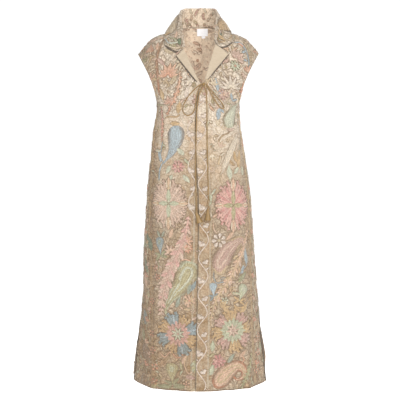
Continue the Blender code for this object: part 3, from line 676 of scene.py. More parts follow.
def shell(name, outer, inner, flat, tone, material, nodes, worked=None, inside=None):
    """A thin closed shell between two grids of points; inside holds the two faces' share of the pale inside,
    partly plain reverse and partly painted light.
    """
    high, wide = outer.shape[:2]
    number = np.arange(high * wide).reshape(high, wide)
    front = grid_faces(number)
    back = front[:, ::-1] + high * wide
    rim = np.concatenate([number[0, :-1], number[:-1, -1], number[-1, :0:-1], number[:0:-1, 0]])
    after = np.roll(rim, -1)
    side = np.stack([rim, rim + high * wide, after + high * wide, after], -1)
    faces = np.concatenate([front, back, side])
    points = np.concatenate([outer.reshape(-1, 3), inner.reshape(-1, 3)])
    a = points[faces]
    volume = sum(np.einsum("ij,ij->i", a[:, 0], np.cross(a[:, k], a[:, k + 1])).sum() for k in (1, 2))
    if volume < 0:
        faces = faces[:, ::-1]
    flat3 = np.concatenate([flat, np.zeros(flat.shape[:2] + (1,))], -1).reshape(-1, 3)
    values = [("flat", np.tile(flat3, (2, 1))), ("tone", np.tile(tone.ravel(), 2))]
    if worked is not None:
        values.append(("worked", np.tile(worked.ravel(), 2)))
        values.append(("inside", np.concatenate([share.ravel() for share in inside])))
    item = mesh_item(name, points, faces, values)
    dress(item, material, nodes)
    return item


# ---- body panels
SKIRT_ROWS = 220
SHOULDER_ROWS = 84
PANEL_COLUMNS = 64
ROW_SAMPLES = 160
LOOK_STEPS = 40
EDGE_FADE = 0.014        # puckers die away this near a panel's edges
# creases: s start, t start, s end, t end, half width, height
CREASES = rows_of("""
    -1500 -3000 -600 -3300 45 -12; -1580 -3300 -850 -3720 60 14; 1480 -3100 700 -3450 50 -12
    1560 -3520 900 -3980 60 13; -1700 -4700 -950 -4300 70 -12; 1720 -5050 1100 -4620 65 -11
    -1400 -6200 -1200 -8600 80 16; 1180 -6000 1360 -8400 85 15; -700 -7400 -900 -11200 100 -18
    860 -7700 1040 -11800 110 -18; -2000 -9000 -2260 -12500 90 18; 2060 -8800 2360 -12300 90 17
    -400 -10000 -520 -13500 80 15; 520 -10400 600 -13700 85 14
    """, TENTHS)
# height, width and length of the puckers, fine to broad
PUCKERS = ((0.00042, 0.0105, 0.0105), (0.00055, 0.023, 0.027), (0.0009, 0.070, 0.110))
CENTRE_SAMPLES = 24
NECK_SEAM_REACH = 0.002  # the shoulder seam's gap starts this far inside the neck point


def meet(low, high, gap):
    """Where falling functions cross zero."""
    for _ in range(LOOK_STEPS):
        middle = 0.5 * (low + high)
        above = gap(middle) > 0
        low, high = np.where(above, middle, low), np.where(above, high, middle)
    return 0.5 * (low + high)


def panel_levels():
    """Each row's level below the chest, its share of the way up the shoulder, and which of the two it is."""
    skirt = np.linspace(HEM_Z, CHEST_Z, SKIRT_ROWS, endpoint=False)
    steps = np.linspace(0, len(SHOULDER_SHARES) - 1, SHOULDER_ROWS)
    shares = np.interp(steps, np.arange(len(SHOULDER_SHARES)), SHOULDER_SHARES)
    level = np.concatenate([skirt, np.full(SHOULDER_ROWS, CHEST_Z)])[:, None]
    share = np.concatenate([np.zeros(SKIRT_ROWS), shares])[:, None]
    hangs = (np.arange(SKIRT_ROWS + SHOULDER_ROWS) < SKIRT_ROWS)[:, None]
    return level, share, hangs


def row_heights(x, top_of):
    """Heights of the rows at x, from the hem, which rises toward the slit, to the panel's top line."""
    level, share, hangs = panel_levels()
    reach = np.minimum(1.0, np.abs(x) / half_width(x, level))
    low = smooth_step((SLIT_Z - level) / (SLIT_Z - HEM_Z))
    hung = level + HEM_RISE * low * reach**HEM_RISE_POWER
    return np.where(hangs, hung, CHEST_Z + (top_of(x) - CHEST_Z) * np.sin(pi / 2 * share))


def side_edge(side, z, spread):
    """How far out a panel's side edge lies: armhole above, seam below, and open slit lowest."""
    open_share = np.clip((SLIT_Z - z) / (SLIT_Z - HEM_Z), 0.0, 1.0)
    hung = half_width(side, z) * (1.0 - spread * np.sin(pi / 2 * open_share))
    return np.where(z > UNDERARM_Z, read(ARMHOLE, 1 if side < 0 else 2, z), hung)


def front_inner(side):
    """x of a front's inner edge in each row: upright below the roll, slanted up to the neck."""
    pick = 1 if side < 0 else 2
    zero = np.zeros_like(panel_levels()[0])
    z = row_heights(zero, ridge_height)
    upright = read(FRONT_EDGE, pick, z)

    def gap(x):
        return np.abs(read(FRONT_EDGE, pick, row_heights(x, ridge_height))) - x
    slanted = side * meet(zero, zero + NECK_POINT_X, gap)
    return np.where(z < ROLL_FOOT_Z, upright, slanted)


def back_top(x):
    x = np.asarray(x, float)
    neck = ridge_height(NECK_POINT_X) + BACK_NECK_RISE * (1 - (x / NECK_POINT_X) ** 2)
    return np.where(np.abs(x) >= NECK_POINT_X, ridge_height(x), neck)


def back_inner(side):
    zero = np.zeros_like(panel_levels()[0])
    return read(BACK_SEAM, 1, row_heights(zero, back_top)) + side * SEAM


def crease_height(s, t):
    """Height of the listed creases at flat places."""
    lift = np.zeros_like(s)
    for s0, t0, s1, t1, half, height in CREASES:
        run = np.array([s1 - s0, t1 - t0])
        length = np.hypot(*run)
        run /= length
        along = ((s - s0) * run[0] + (t - t0) * run[1]) / length
        across = (t - t0) * run[0] - (s - s0) * run[1]
        taper = smooth_step(along / 0.3) * smooth_step((1 - along) / 0.35)
        lift += height * taper * np.exp(-(across / half) ** 2)
    return lift


def pucker(s, t, seed):
    """How the close stitching draws the linen up, square to the cloth."""
    return sum(height * grain(s / wide, t / high, seed + k) for k, (height, wide, high) in enumerate(PUCKERS))


def panel(name, side, top_of, start, depth_of, spread, facing, seed):
    """One body panel of puckered linen; gives its outer and inner faces to lay work on."""
    low = np.full_like(start, SIDE_SEARCH[0])
    high = np.full_like(start, SIDE_SEARCH[1])
    end = side * meet(low, high, lambda x: side_edge(side, row_heights(x, top_of), spread) - x)
    x = start + (end - start) * np.sin(pi / 2 * np.linspace(0, 1, ROW_SAMPLES + 1))[None, :]
    z = row_heights(x, top_of)
    line = np.stack([x, depth_of(x, z), z], -1)
    reach = np.zeros(x.shape)
    reach[:, 1:] = np.cumsum(np.linalg.norm(np.diff(line, axis=1), axis=-1), axis=1)
    even = reach[:, -1:] * np.linspace(0, 1, PANEL_COLUMNS + 1)
    x = np.stack([np.interp(e, r, line_x) for e, r, line_x in zip(even, reach, x)])
    z = row_heights(x, top_of)
    grid = np.stack([x, depth_of(x, z), z], -1)
    least = SIDE_GAP_Y * facing
    last = grid[:, -1, 1]
    grid[:, -1, 1] = np.where(np.abs(last) < SIDE_GAP_Y, least, last)
    seam = np.abs(grid[-1, :, 0]) >= NECK_POINT_X - NECK_SEAM_REACH
    grid[-1, seam, 1] += SEAM * facing
    normals = grid_normals(grid)
    if normals[SKIRT_ROWS // 2, 5, 1] * facing < 0:
        normals = -normals
    from_centre = start * np.linspace(0, 1, CENTRE_SAMPLES)[None, :]
    toward = np.stack([from_centre, depth_of(from_centre, row_heights(from_centre, top_of))], -1)
    first = np.linalg.norm(np.diff(toward, axis=1), axis=-1).sum(1)[:, None] * np.sign(start)
    across = first + side * even
    middle = grid[:, PANEL_COLUMNS // 2]
    along = HEM_Z + run_of(middle)
    t = np.repeat(along[:, None], PANEL_COLUMNS + 1, 1)
    edge = np.minimum(even, even[:, -1:] - even)
    edge = np.minimum(edge, np.minimum(t - along[0], along[-1] - t))
    fade = smooth_step(edge / EDGE_FADE)
    detail = (pucker(across, t, seed) + crease_height(across, t)) * fade
    outer = grid + normals * detail[..., None]
    inner = outer - normals * SHELL
    tone = panel_tone(across, t, edge)
    flat = np.stack([across, t], -1)
    plainer = smooth_step((-0.27 - t) / 0.06) * smooth_step((t + 0.66) / 0.06)
    plainer = plainer * smooth_step((0.20 - np.abs(across)) / 0.04) * (facing < 0)
    plainer = np.maximum(plainer, smooth_step((0.052 - np.abs(across)) / 0.01) * 1.3)
    # painted shade on the inside near the open slits, where the pale inside mix is taken away
    slit_shade = smooth_step((0.075 - (even[:, -1:] - even)) / 0.03) * smooth_step((SLIT_Z + 0.04 - t) / 0.04)
    mottled = np.clip(0.80 + 0.34 * grain(across / 0.020, t / 0.020, seed + 5), 0.3, 1.0)
    item = shell(name, outer, inner, flat, tone, LINEN, (name.replace("cloth_", ""),),
                 1 - 0.45 * plainer, (np.zeros_like(t), (1 - slit_shade) * mottled))
    return Cloth(outer, normals, across, along), Cloth(inner, -normals, across, along)


def side_shade_and_hem_dimming(s, t):
    """How much the stitching is darkened, from 0 to 1: painted shade toward the sides, most on the right
    front's side, away from the key light, and duller toward the right front's hem.
    """
    side = smooth_step((-0.150 - s) / 0.05) + 0.4 * smooth_step((s - 0.190) / 0.04)
    return np.clip(0.60 * side + 0.55 * smooth_step((-1.02 - t) / 0.20) * (s < -0.03), 0, 1)


def panel_tone(s, t, edge):
    """Ground tone: 1 is the palest linen, 0 the brownest. Part of it is the linen's own tone, part is painted
    shade toward the sides, most on the wearer's right, which turns away from the key light; it is also lower
    along the edges and toward the right half's hem.
    """
    pale = 0.35 + 0.45 * smooth_step((t + 0.62) / 0.40)
    band = smooth_step((0.052 - np.abs(s)) / 0.008) * smooth_step((-0.20 - t) / 0.03)
    band = band * (0.14 + 0.18 * smooth_step((-0.45 - t) / 0.20))
    low = smooth_step((-1.02 - t) / 0.20) * (s < 0)
    right = smooth_step((-0.150 - s) / 0.05)
    left = smooth_step((s - 0.160) / 0.05)
    rim = smooth_step((0.006 - edge) / 0.006)
    # right and left are painted shade at the sides; rim and low only make the edges and the right half's hem
    # darker
    tone = pale - band - 0.42 * right - 0.14 * left - 0.35 * rim - 0.20 * low
    return np.clip(tone + 0.09 * grain(s / 0.05, t / 0.06, 31), 0, 1)


FRONT_SEED, BACK_SEED = 11, 41
CLOTH = {name: panel("cloth_" + name, *how) for name, *how in (
    ("front_right", -1, ridge_height, front_inner(-1), sunk_front_y, SLIT_SPREAD_RIGHT, -1, FRONT_SEED),
    ("front_left", 1, ridge_height, front_inner(1), front_y, SLIT_SPREAD_LEFT, -1, FRONT_SEED),
    ("back_right", -1, back_top, back_inner(-1), back_y, SLIT_SPREAD_BACK, 1, BACK_SEED),
    ("back_left", 1, back_top, back_inner(1), back_y, SLIT_SPREAD_BACK, 1, BACK_SEED))}


# ---- collar
# neck place, fold x y z, leaf x y z, sag
COLLAR_RIGHT = rows_of("""
    0 -56 -87 -61 -132 -68 -52 22; 550 -66 -56 8 -133 -38 -20 6; 1000 -71 -8 71 -127 8 8 0
    1500 -58 42 99 -94 74 10 0; 2000 0 64 105 0 96 12 0
    """, MM)
COLLAR_LEFT = rows_of("""
    0 62 -85 -40 130 -66 -39 24; 550 66 -56 12 129 -38 -14 5; 1000 69 -8 72 122 8 9 0
    1500 58 42 99 93 74 10 0; 2000 0 64 105 0 96 12 0
    """, MM)
COLLAR_STATIONS = 72     # rows on each half
COLLAR_COLUMNS = 44
STAND_STEPS = 8
ROLL_STEPS = 14
LEAF_STEPS = 26
ROLL_RADIUS = 0.0035
LEAF_BULGE = 0.003
COLLAR_CLEAR = 0.0032
NECK_AXIS = np.array((0.0, 0.020, 0.020))
NECK_CENTRE = np.array((0.0, 0.0, 0.060))
NECK_POINT, BACK_POINT = 1.0, 2.0
NECK_STEP = 0.020
FOLD_STEP = 0.050
FRONT_SHARE_END = 0.985
BACK_SHARE_START = 0.040
SAG_POWER = 0.7


def neck_edge(side, place):
    """Point on the neck edge, the cloth's normal there, and the way into the neck."""
    pick = 1 if side < 0 else 2

    def front_point(u):
        z = COLLAR_START_Z + (NECK_POINT_Z - COLLAR_START_Z) * min(u, FRONT_SHARE_END)
        x = read(FRONT_EDGE, pick, z)
        return np.array([x, front_y(x, z), z], float)

    def back_point(u):
        x = side * NECK_POINT_X * cos(pi / 2 * max(u, BACK_SHARE_START))
        top = back_top(x)
        return np.array([x, back_y(x, top), top], float)

    if place <= NECK_POINT:
        point = front_point(place)
        way = front_point(place + NECK_STEP) - front_point(place - NECK_STEP)
        normal = lifted(front_y, -1, point[0], point[2], 1.0) - point
    else:
        past = place - NECK_POINT
        point = back_point(past)
        way = back_point(past + NECK_STEP) - back_point(past - NECK_STEP)
        normal = lifted(back_y, 1, point[0], point[2], 1.0) - point
    into = unit(np.cross(way, normal))
    if into @ (NECK_CENTRE - point) < 0:
        into = -into
    return point, normal, into


def off_the_body(points):
    """Lift the collar's leaf clear of the shoulders."""
    x, y, below = points[:, 0], points[:, 1], points[:, 2] - COLLAR_CLEAR
    front = front_y(x, below) - COLLAR_CLEAR
    back = back_y(x, below) + COLLAR_CLEAR
    buried = (below <= ridge_height(x)) & (front < y) & (y < back)
    near = np.where(y - front < back - y, front, back)
    return np.stack([x, np.where(buried, near, y), points[:, 2]], -1)


def collar_section(side, table, place):
    """A line across the collar: up its stand, over the roll and down its leaf."""
    def row(at):
        return np.array([read(table, k, at) for k in range(1, 8)], float)

    values = row(place)
    fold, leaf, sag = values[:3], values[3:6], values[6]
    edge, normal, into = neck_edge(side, place)
    foot = edge + into * (WALL / 2 + 2 * SEAM) - normal * (WALL / 2)
    way = row(min(place + FOLD_STEP, BACK_POINT))[:3] - row(max(place - FOLD_STEP, 0.0))[:3]
    if place == BACK_POINT:
        way = np.array([1.0, 0.0, 0.0])
    up = unit(fold - 0.5 * (foot + leaf))
    outward = unit(np.cross(way, up))
    if outward @ (fold - NECK_AXIS) < 0:
        outward = -outward
    stand = np.linspace(0, 1, STAND_STEPS, endpoint=False)[:, None]
    turn = pi * np.linspace(0, 1, ROLL_STEPS + 1)[:, None]
    u = np.linspace(0, 1, LEAF_STEPS + 1)[1:, None]
    inner = foot + (fold - outward * ROLL_RADIUS - foot) * stand
    roll = fold - outward * ROLL_RADIUS * np.cos(turn) + up * ROLL_RADIUS * np.sin(turn)
    start = fold + outward * ROLL_RADIUS
    outer = start + (leaf - start) * u + outward * LEAF_BULGE * np.sin(pi * u)
    outer[:, 2] -= sag * np.sin(pi * u[:, 0] ** SAG_POWER)
    return np.concatenate([inner, roll, off_the_body(outer)])


def past_the_back(table, other):
    """A half's table run on past the centre back, so that the two halves meet smoothly."""
    return table + [[2 * BACK_POINT - other[-2][0]] + other[-2][1:]]


def collar():
    """The turned-down collar, from one front end round the neck to the other."""
    halves = ((-1, past_the_back(COLLAR_RIGHT, COLLAR_LEFT)),
              (1, past_the_back(COLLAR_LEFT, COLLAR_RIGHT)))
    lines = []
    for side, table in halves:
        half = [collar_section(side, table, BACK_POINT * k / COLLAR_STATIONS)
                for k in range(COLLAR_STATIONS + (1 if side < 0 else 0))]
        lines += half if side < 0 else half[::-1]
    grid = np.array([resampled(line, COLLAR_COLUMNS) for line in lines])
    length = np.array([run_of(line)[-1] for line in lines])
    along = run_of(grid[:, COLLAR_COLUMNS // 2])
    across = -length[:, None] * np.linspace(1, 0, COLLAR_COLUMNS + 1)[None, :]
    normals = grid_normals(grid)
    probe = COLLAR_STATIONS // 2
    if normals[probe, -8] @ (grid[probe, -8] - NECK_AXIS) < 0:
        normals = -normals
    t = np.repeat(along[:, None], COLLAR_COLUMNS + 1, 1)
    edge = np.minimum(-across, across + length[:, None])
    edge = np.minimum(edge, np.minimum(t, along[-1] - t))
    fade = smooth_step(edge / 0.010)
    detail = 0.0007 * grain(across / 0.013, t / 0.013, 71) * fade
    outer = grid + normals * (SHELL / 2 + detail)[..., None]
    inner = grid + normals * (detail - SHELL / 2)[..., None]
    tone = np.clip(0.60 + 0.25 * grain(across / 0.05, t / 0.06, 77), 0, 1)
    # painted light on the stand, at the back of the neck where shade falls: a higher tone, and the pale
    # inside mix on its outer face
    stand = smooth_step((-0.085 - across) / 0.02)
    item = shell("cloth_collar", outer, inner, np.stack([across, t], -1), tone + 0.18 + 0.25 * stand, LINEN,
                 ("collar",), np.ones_like(t), (0.7 * stand, np.zeros_like(t)))
    return Cloth(outer, normals, across, along), Cloth(inner, -normals, across, along)


CLOTH["collar"] = collar()


# ---- lapels
LAPELS = {               # corners in the front view, (x, z)
    "lapel_right": ((-0.0580, -0.0720), (-0.0740, -0.0900), (-0.0873, -0.0950),
                    (-0.0020, -0.1930), (-0.0070, -0.1980)),
    "lapel_left": ((0.0630, -0.0520), (0.0855, -0.0680), (0.1115, -0.0910),
                   (0.0230, -0.1880), (0.0320, -0.1880)),
}
LAPEL_ROWS = 40
LAPEL_COLUMNS = 14
LAPEL_LIFT = 0.0014
LAPEL_ROLL = 0.0030


def lapel(name, corners):
    """The turned-back facing, laid on the front and a little prouder at its roll."""
    roll_top, notch, peak, roll_low, edge_low = (np.array(corner) for corner in corners)
    v = np.linspace(0, 1, LAPEL_ROWS + 1)[:, None, None]
    u = np.linspace(0, 1, LAPEL_COLUMNS + 1)[None, :, None]
    roll = roll_low + (roll_top - roll_low) * v
    outer = edge_low + (peak - edge_low) * v
    place = roll + (outer - roll) * u
    first = roll_top + (notch - roll_top) * 2 * u
    second = notch + (peak - notch) * (2 * u - 1)
    top_line = np.where(u < 0.5, first, second)
    place = place + (top_line - (roll_top + (peak - roll_top) * u)) * v**3
    lift = np.broadcast_to(LAPEL_LIFT + WALL + LAPEL_ROLL * (1 - u[..., 0]) ** 2, place.shape[:2])
    grid = lifted(front_y, -1, place[..., 0], place[..., 1], lift)
    normals = grid_normals(grid)
    if normals[LAPEL_ROWS // 2, LAPEL_COLUMNS // 2, 1] > 0:
        normals = -normals
    slant = place[..., 0] * 0.8 + place[..., 1] * 0.5 * np.sign(peak[0])
    detail = 0.0018 * grain(slant / 0.011, place[..., 1] / 0.050, 91)
    detail += 0.0004 * grain(place[..., 0] / 0.007, place[..., 1] / 0.010, 92)
    edge = smooth_step(np.minimum(u, 1 - u)[..., 0] / 0.2) * smooth_step(v[..., 0] / 0.1)
    grid = grid + normals * (detail * edge)[..., None]
    inner = grid - normals * SHELL
    tone = np.full(grid.shape[:2], 0.8)
    item = shell("cloth_" + name, grid, inner, place, tone, FACING, (name,))
    width, height = float(run_of(grid[-1])[-1]), float(run_of(grid[:, 0])[-1])


for lapel_name, lapel_corners in LAPELS.items():
    lapel(lapel_name, lapel_corners)


# ---- label
LABEL_SIZE = (0.044, 0.029)
LABEL_X = 0.014
LABEL_TOP = 0.031
TAB_SIZE = (0.014, 0.009)
TAB_X = 0.018
LABEL_CLEAR = 0.0022
TAPE_WALL = 0.001


def tape(name, centre_x, top, size, cell):
    """A flat woven tape hung against the inside of the back."""
    wide, high = round(size[0] / cell), round(size[1] / cell)
    x = centre_x + size[0] * (np.linspace(0, 1, wide + 1)[None, :] - 0.5)
    z = top - size[1] * np.linspace(0, 1, high + 1)[:, None]
    x, z = np.broadcast_arrays(x, z)
    grid = lifted(back_y, 1, x, z, np.full(x.shape, -WALL - LABEL_CLEAR))
    normals = grid_normals(grid)
    if normals[1, 1, 1] > 0:
        normals = -normals
    outer = grid + normals * TAPE_WALL * 0.5
    inner = grid - normals * TAPE_WALL * 0.4
    tone = np.ones(x.shape)
    return shell("cloth_" + name, outer, inner, np.stack([x, z], -1), tone, TAPE, (name,))


LABEL = tape("label", LABEL_X, LABEL_TOP, LABEL_SIZE, 0.002)
TAB = tape("size_tab", TAB_X, LABEL_TOP - LABEL_SIZE[1] - SEAM, TAB_SIZE, 0.0015)


# ---- tie
def tube_curve(name, points, radius):
    curve = bpy.data.curves.new(name, "CURVE")
    curve.dimensions = "3D"
    curve.bevel_depth = radius
    curve.bevel_resolution = 4
    curve.use_fill_caps = True
    spline = curve.splines.new("POLY")
    spline.points.add(len(points) - 1)
    for slot, point in zip(spline.points, points):
        slot.co = (*point, 1.0)
    return add_object(name, curve)


def cone(name, top, foot, top_half, foot_half):
    """A satin cone, closed at its top and open at its foot, with a turned hem."""
    head = Vector((top[0], float(front_y(*top)) - CONE_TOP_LIFT, top[1]))
    base = Vector((foot[0], float(front_y(*foot)) - CONE_FOOT_LIFT, foot[1]))
    down = (base - head).normalized()
    across = (Vector((1, 0, 0)) - down * down.x).normalized()
    front = across.cross(down)
    points, faces = [np.array(head)], []
    for inner in (False, True):
        for k in (range(CONE_RINGS, 0, -1) if inner else range(CONE_RINGS + 1)):
            u = k / CONE_RINGS
            radius = top_half + (foot_half - top_half) * u**CONE_FLARE
            radius += -CONE_WALL if inner else CONE_HEM * smooth_step((u - 0.9) / 0.05)
            depth = 1.0 + (CONE_DEPTH - 1.0) * u
            for n in range(CONE_SIDES):
                turn = 2 * pi * n / CONE_SIDES
                ripple = 1.0 + 0.035 * u * sin(3 * turn + 0.7) + 0.02 * u * sin(7 * turn)
                spot = head.lerp(base, u) + across * radius * ripple * cos(turn)
                points.append(np.array(spot + front * radius * depth * ripple * sin(turn)))
    points.append(np.array(head.lerp(base, 0.5 / CONE_RINGS)))
    bands = 2 * CONE_RINGS
    for n in range(CONE_SIDES):
        after = (n + 1) % CONE_SIDES
        faces.append((0, 1 + n, 1 + after))
        for band in range(bands):
            start = 1 + band * CONE_SIDES
            faces.append((start + n, start + CONE_SIDES + n, start + CONE_SIDES + after, start + after))
        end = 1 + bands * CONE_SIDES
        faces.append((len(points) - 1, end + after, end + n))
    points = np.array(points)
    total = sum(points[f[0]] @ np.cross(points[f[k]], points[f[k + 1]])
                for f in faces for k in range(1, len(f) - 1))
    if total < 0:
        faces = [tuple(reversed(face)) for face in faces]
    item = mesh_item("satin_" + name, points, faces)
    dress(item, SATIN, (name,))
    return item


def knot():
    """The bow's knot: a soft core with two turns of the cord round it."""
    x, z = KNOT_CENTRE
    centre = Vector((x, float(front_y(x, z)) - KNOT_LIFT, z))
    bpy.ops.mesh.primitive_uv_sphere_add(segments=40, ring_count=24, radius=1.0, location=(0, 0, 0))
    item = bpy.context.object
    item.name = item.data.name = "satin_tie_knot"
    for vertex in item.data.vertices:
        p = vertex.co
        fold = 1.0 + 0.06 * sin(9 * p.z + 2.0 * p.x) * (1 - p.z * p.z)
        vertex.co = centre + Vector((p.x * KNOT_HALF[0] * KNOT_CORE * fold,
                                     p.y * KNOT_HALF[1] * KNOT_CORE * fold, p.z * KNOT_HALF[2] * KNOT_CORE))
    item.data.shade_smooth()
    dress(item, SATIN, ("tie_knot",))
    for count, (lean, shift) in enumerate(KNOT_TURNS):
        points = []
        for n in range(TURN_STEPS + 1):
            turn = 2 * pi * n / TURN_STEPS
            spot = Vector((sin(lean) * cos(turn) * 0.004 + shift,
                           sin(turn) * (KNOT_HALF[1] - 0.0009), cos(turn) * (KNOT_HALF[2] - 0.0006)))
            points.append(centre + spot)
        wrap = tube_curve("satin_knot_turn_%d" % count, points, TURN_RADIUS)
        bpy.ops.object.select_all(action="DESELECT")
        bpy.context.view_layer.objects.active = wrap
        wrap.select_set(True)
        bpy.ops.object.convert(target="MESH")
        dress(wrap, SATIN)


def tie_cord(name):
    """One length of the tie's cord: its piece, its points and how long it is."""
    points = cord_points(name)
    item = tube_curve("satin_" + name, points, CORD_RADIUS)
    dress(item, SATIN, (name,))
    return item, points, float(run_of(points)[-1])


def tie():
    knot()
    for name in ("tie_loop_right", "tie_loop_left"):
        item, points, length = tie_cord(name)
        tuple(points[0])
    for side in ("right", "left"):
        item, points, length = tie_cord("tie_tail_" + side)
        end = cone("tie_cone_" + side, *CONES["tie_cone_" + side])
        tuple(points[0])


tie()


# ---- embroidery
# Thread colours. The darkest is painted shadow only, shade is the outlines' brown and the painted shade at
# stitching's rims, and the inner_ threads are paler than their kin outside: painted light where the neck's
# inside lies in shade.
THREADS = {name: tuple(rgb) for name, *rgb in rows_of("""
    blue 168 186 194; slate 134 152 156; pink 214 166 154; rose 202 138 132; blush 216 188 168
    mauve 190 154 140; sage 186 190 160; olive 180 170 128; leaf 154 154 118; green 86 114 84
    grey_green 152 160 142; mint 204 206 182; ochre 206 172 124; mustard 190 156 110; tan 200 174 136
    old_rose 202 172 152; peach 216 178 150; coral 212 154 126; rust 180 118 84; white 224 208 194
    cream 226 212 188; sand 198 178 146; inner_rose 240 208 186; inner_pale 250 232 210
    inner_deep 216 180 154; brown 134 106 72; shade 108 82 52; umber 140 112 80; ink 44 32 22
    """)}
SECOND_SHADE = dict(rows_of("""
    blue slate; slate blue; ochre tan; mustard ochre; mauve pink; pink rose; rose pink; blush pink
    old_rose blush; sage mint; tan sand; olive leaf; coral peach; peach tan; green leaf; mint sage
    """))
STRIP_PROFILE = ((-1.0, -0.15), (-0.6, 0.78), (0.0, 1.0), (0.6, 0.78), (1.0, -0.15))
CORD_PROFILE = ((-1.0, -0.2), (0.0, 1.0), (1.0, -0.2))
FLAT_PROFILE = ((-1.0, 1.0), (1.0, 1.0))    # an outline: all but its margins is covered
FLAT_LIMIT = 0.008       # half width up to which an outline needs no more points across
THIN = 0.0016            # half width under which a strip has the plain profile
SINK = 0.00025           # edges of the stitching lie this far below the cloth's face
LEVEL_LIFT = 0.00028     # from one level of work to the next
OUTLINE_HEIGHT, OUTLINE_MORE = 0.00035, 0.0019    # an outline's height, and how much wider it is
DISC_STEP = 0.0020       # spacing of points over a disc
POINT_REACH, POINT_WIDTH = 0.12, 0.35    # share of a line that narrows at an end, and its width there
CROWN_GROWTH = 1.6       # a strip stands at full height from 1 / this of its full width
STITCH_STEP = 0.0042     # spacing of points along a strip
RIM_SHARE = 0.80         # painted shade at the sunk outline of a wide filled shape: how far it darkens there
RIM_FULL = 0.006         # half width from which a shape has the whole of that
WHITE_RIM = 0.3          # white thread takes less of that painted shade
LAPEL_SHARE = 0.90       # how much of a lapel has no stitching under it
SHADE_AND_DIMMING_DEPTH = (0.28, 0.36, 0.46)    # how much of red, green and blue the painted side shade and the hem's dimming take


def under_lapel(points, corners):
    """Which points a lapel hides, seen from the front."""
    outline = np.array([corners[k] for k in (0, 1, 2, 4, 3)])
    outline = outline.mean(0) + LAPEL_SHARE * (outline - outline.mean(0))
    x, z = points[:, 0], points[:, 2]
    hidden = np.zeros(len(points), bool)
    for (ax, az), (bx, bz) in zip(outline, np.roll(outline, -1, axis=0)):
        if az != bz:
            hidden ^= ((az > z) != (bz > z)) & (x < ax + (z - az) * (bx - ax) / (bz - az))
    return hidden


def turned(points, angle):
    """Flat points turned about the origin."""
    c, s = cos(angle), sin(angle)
    return np.stack([points[:, 0] * c - points[:, 1] * s, points[:, 0] * s + points[:, 1] * c], -1)


def bent_line(at, angle, size, places):
    """A few places of a line, sized, turned by an angle and set down at a place."""
    return turned(np.array(places) * size, angle) + at


def ahead(at, angle, x, y=0.0):
    """The place at x along an angle from another one, and y to its left."""
    return turned(np.array([[x, y]]), angle)[0] + at


def headings(line):
    """Which way a line runs at each of its points."""
    return [atan2(up, across) for across, up in unit(np.gradient(line, axis=0))]


def shares(line):
    """From 0 to 1 over the points of a line."""
    return np.linspace(0, 1, len(line))


def pointed(line):
    """Shares of a line's width, narrowed at both of its ends."""
    u = shares(line)
    return np.clip(np.minimum(u, 1 - u) / POINT_REACH, POINT_WIDTH, 1.0)


def through(points, step=STITCH_STEP):
    """An even smooth line through a few flat places."""
    return smooth_route(points, step)


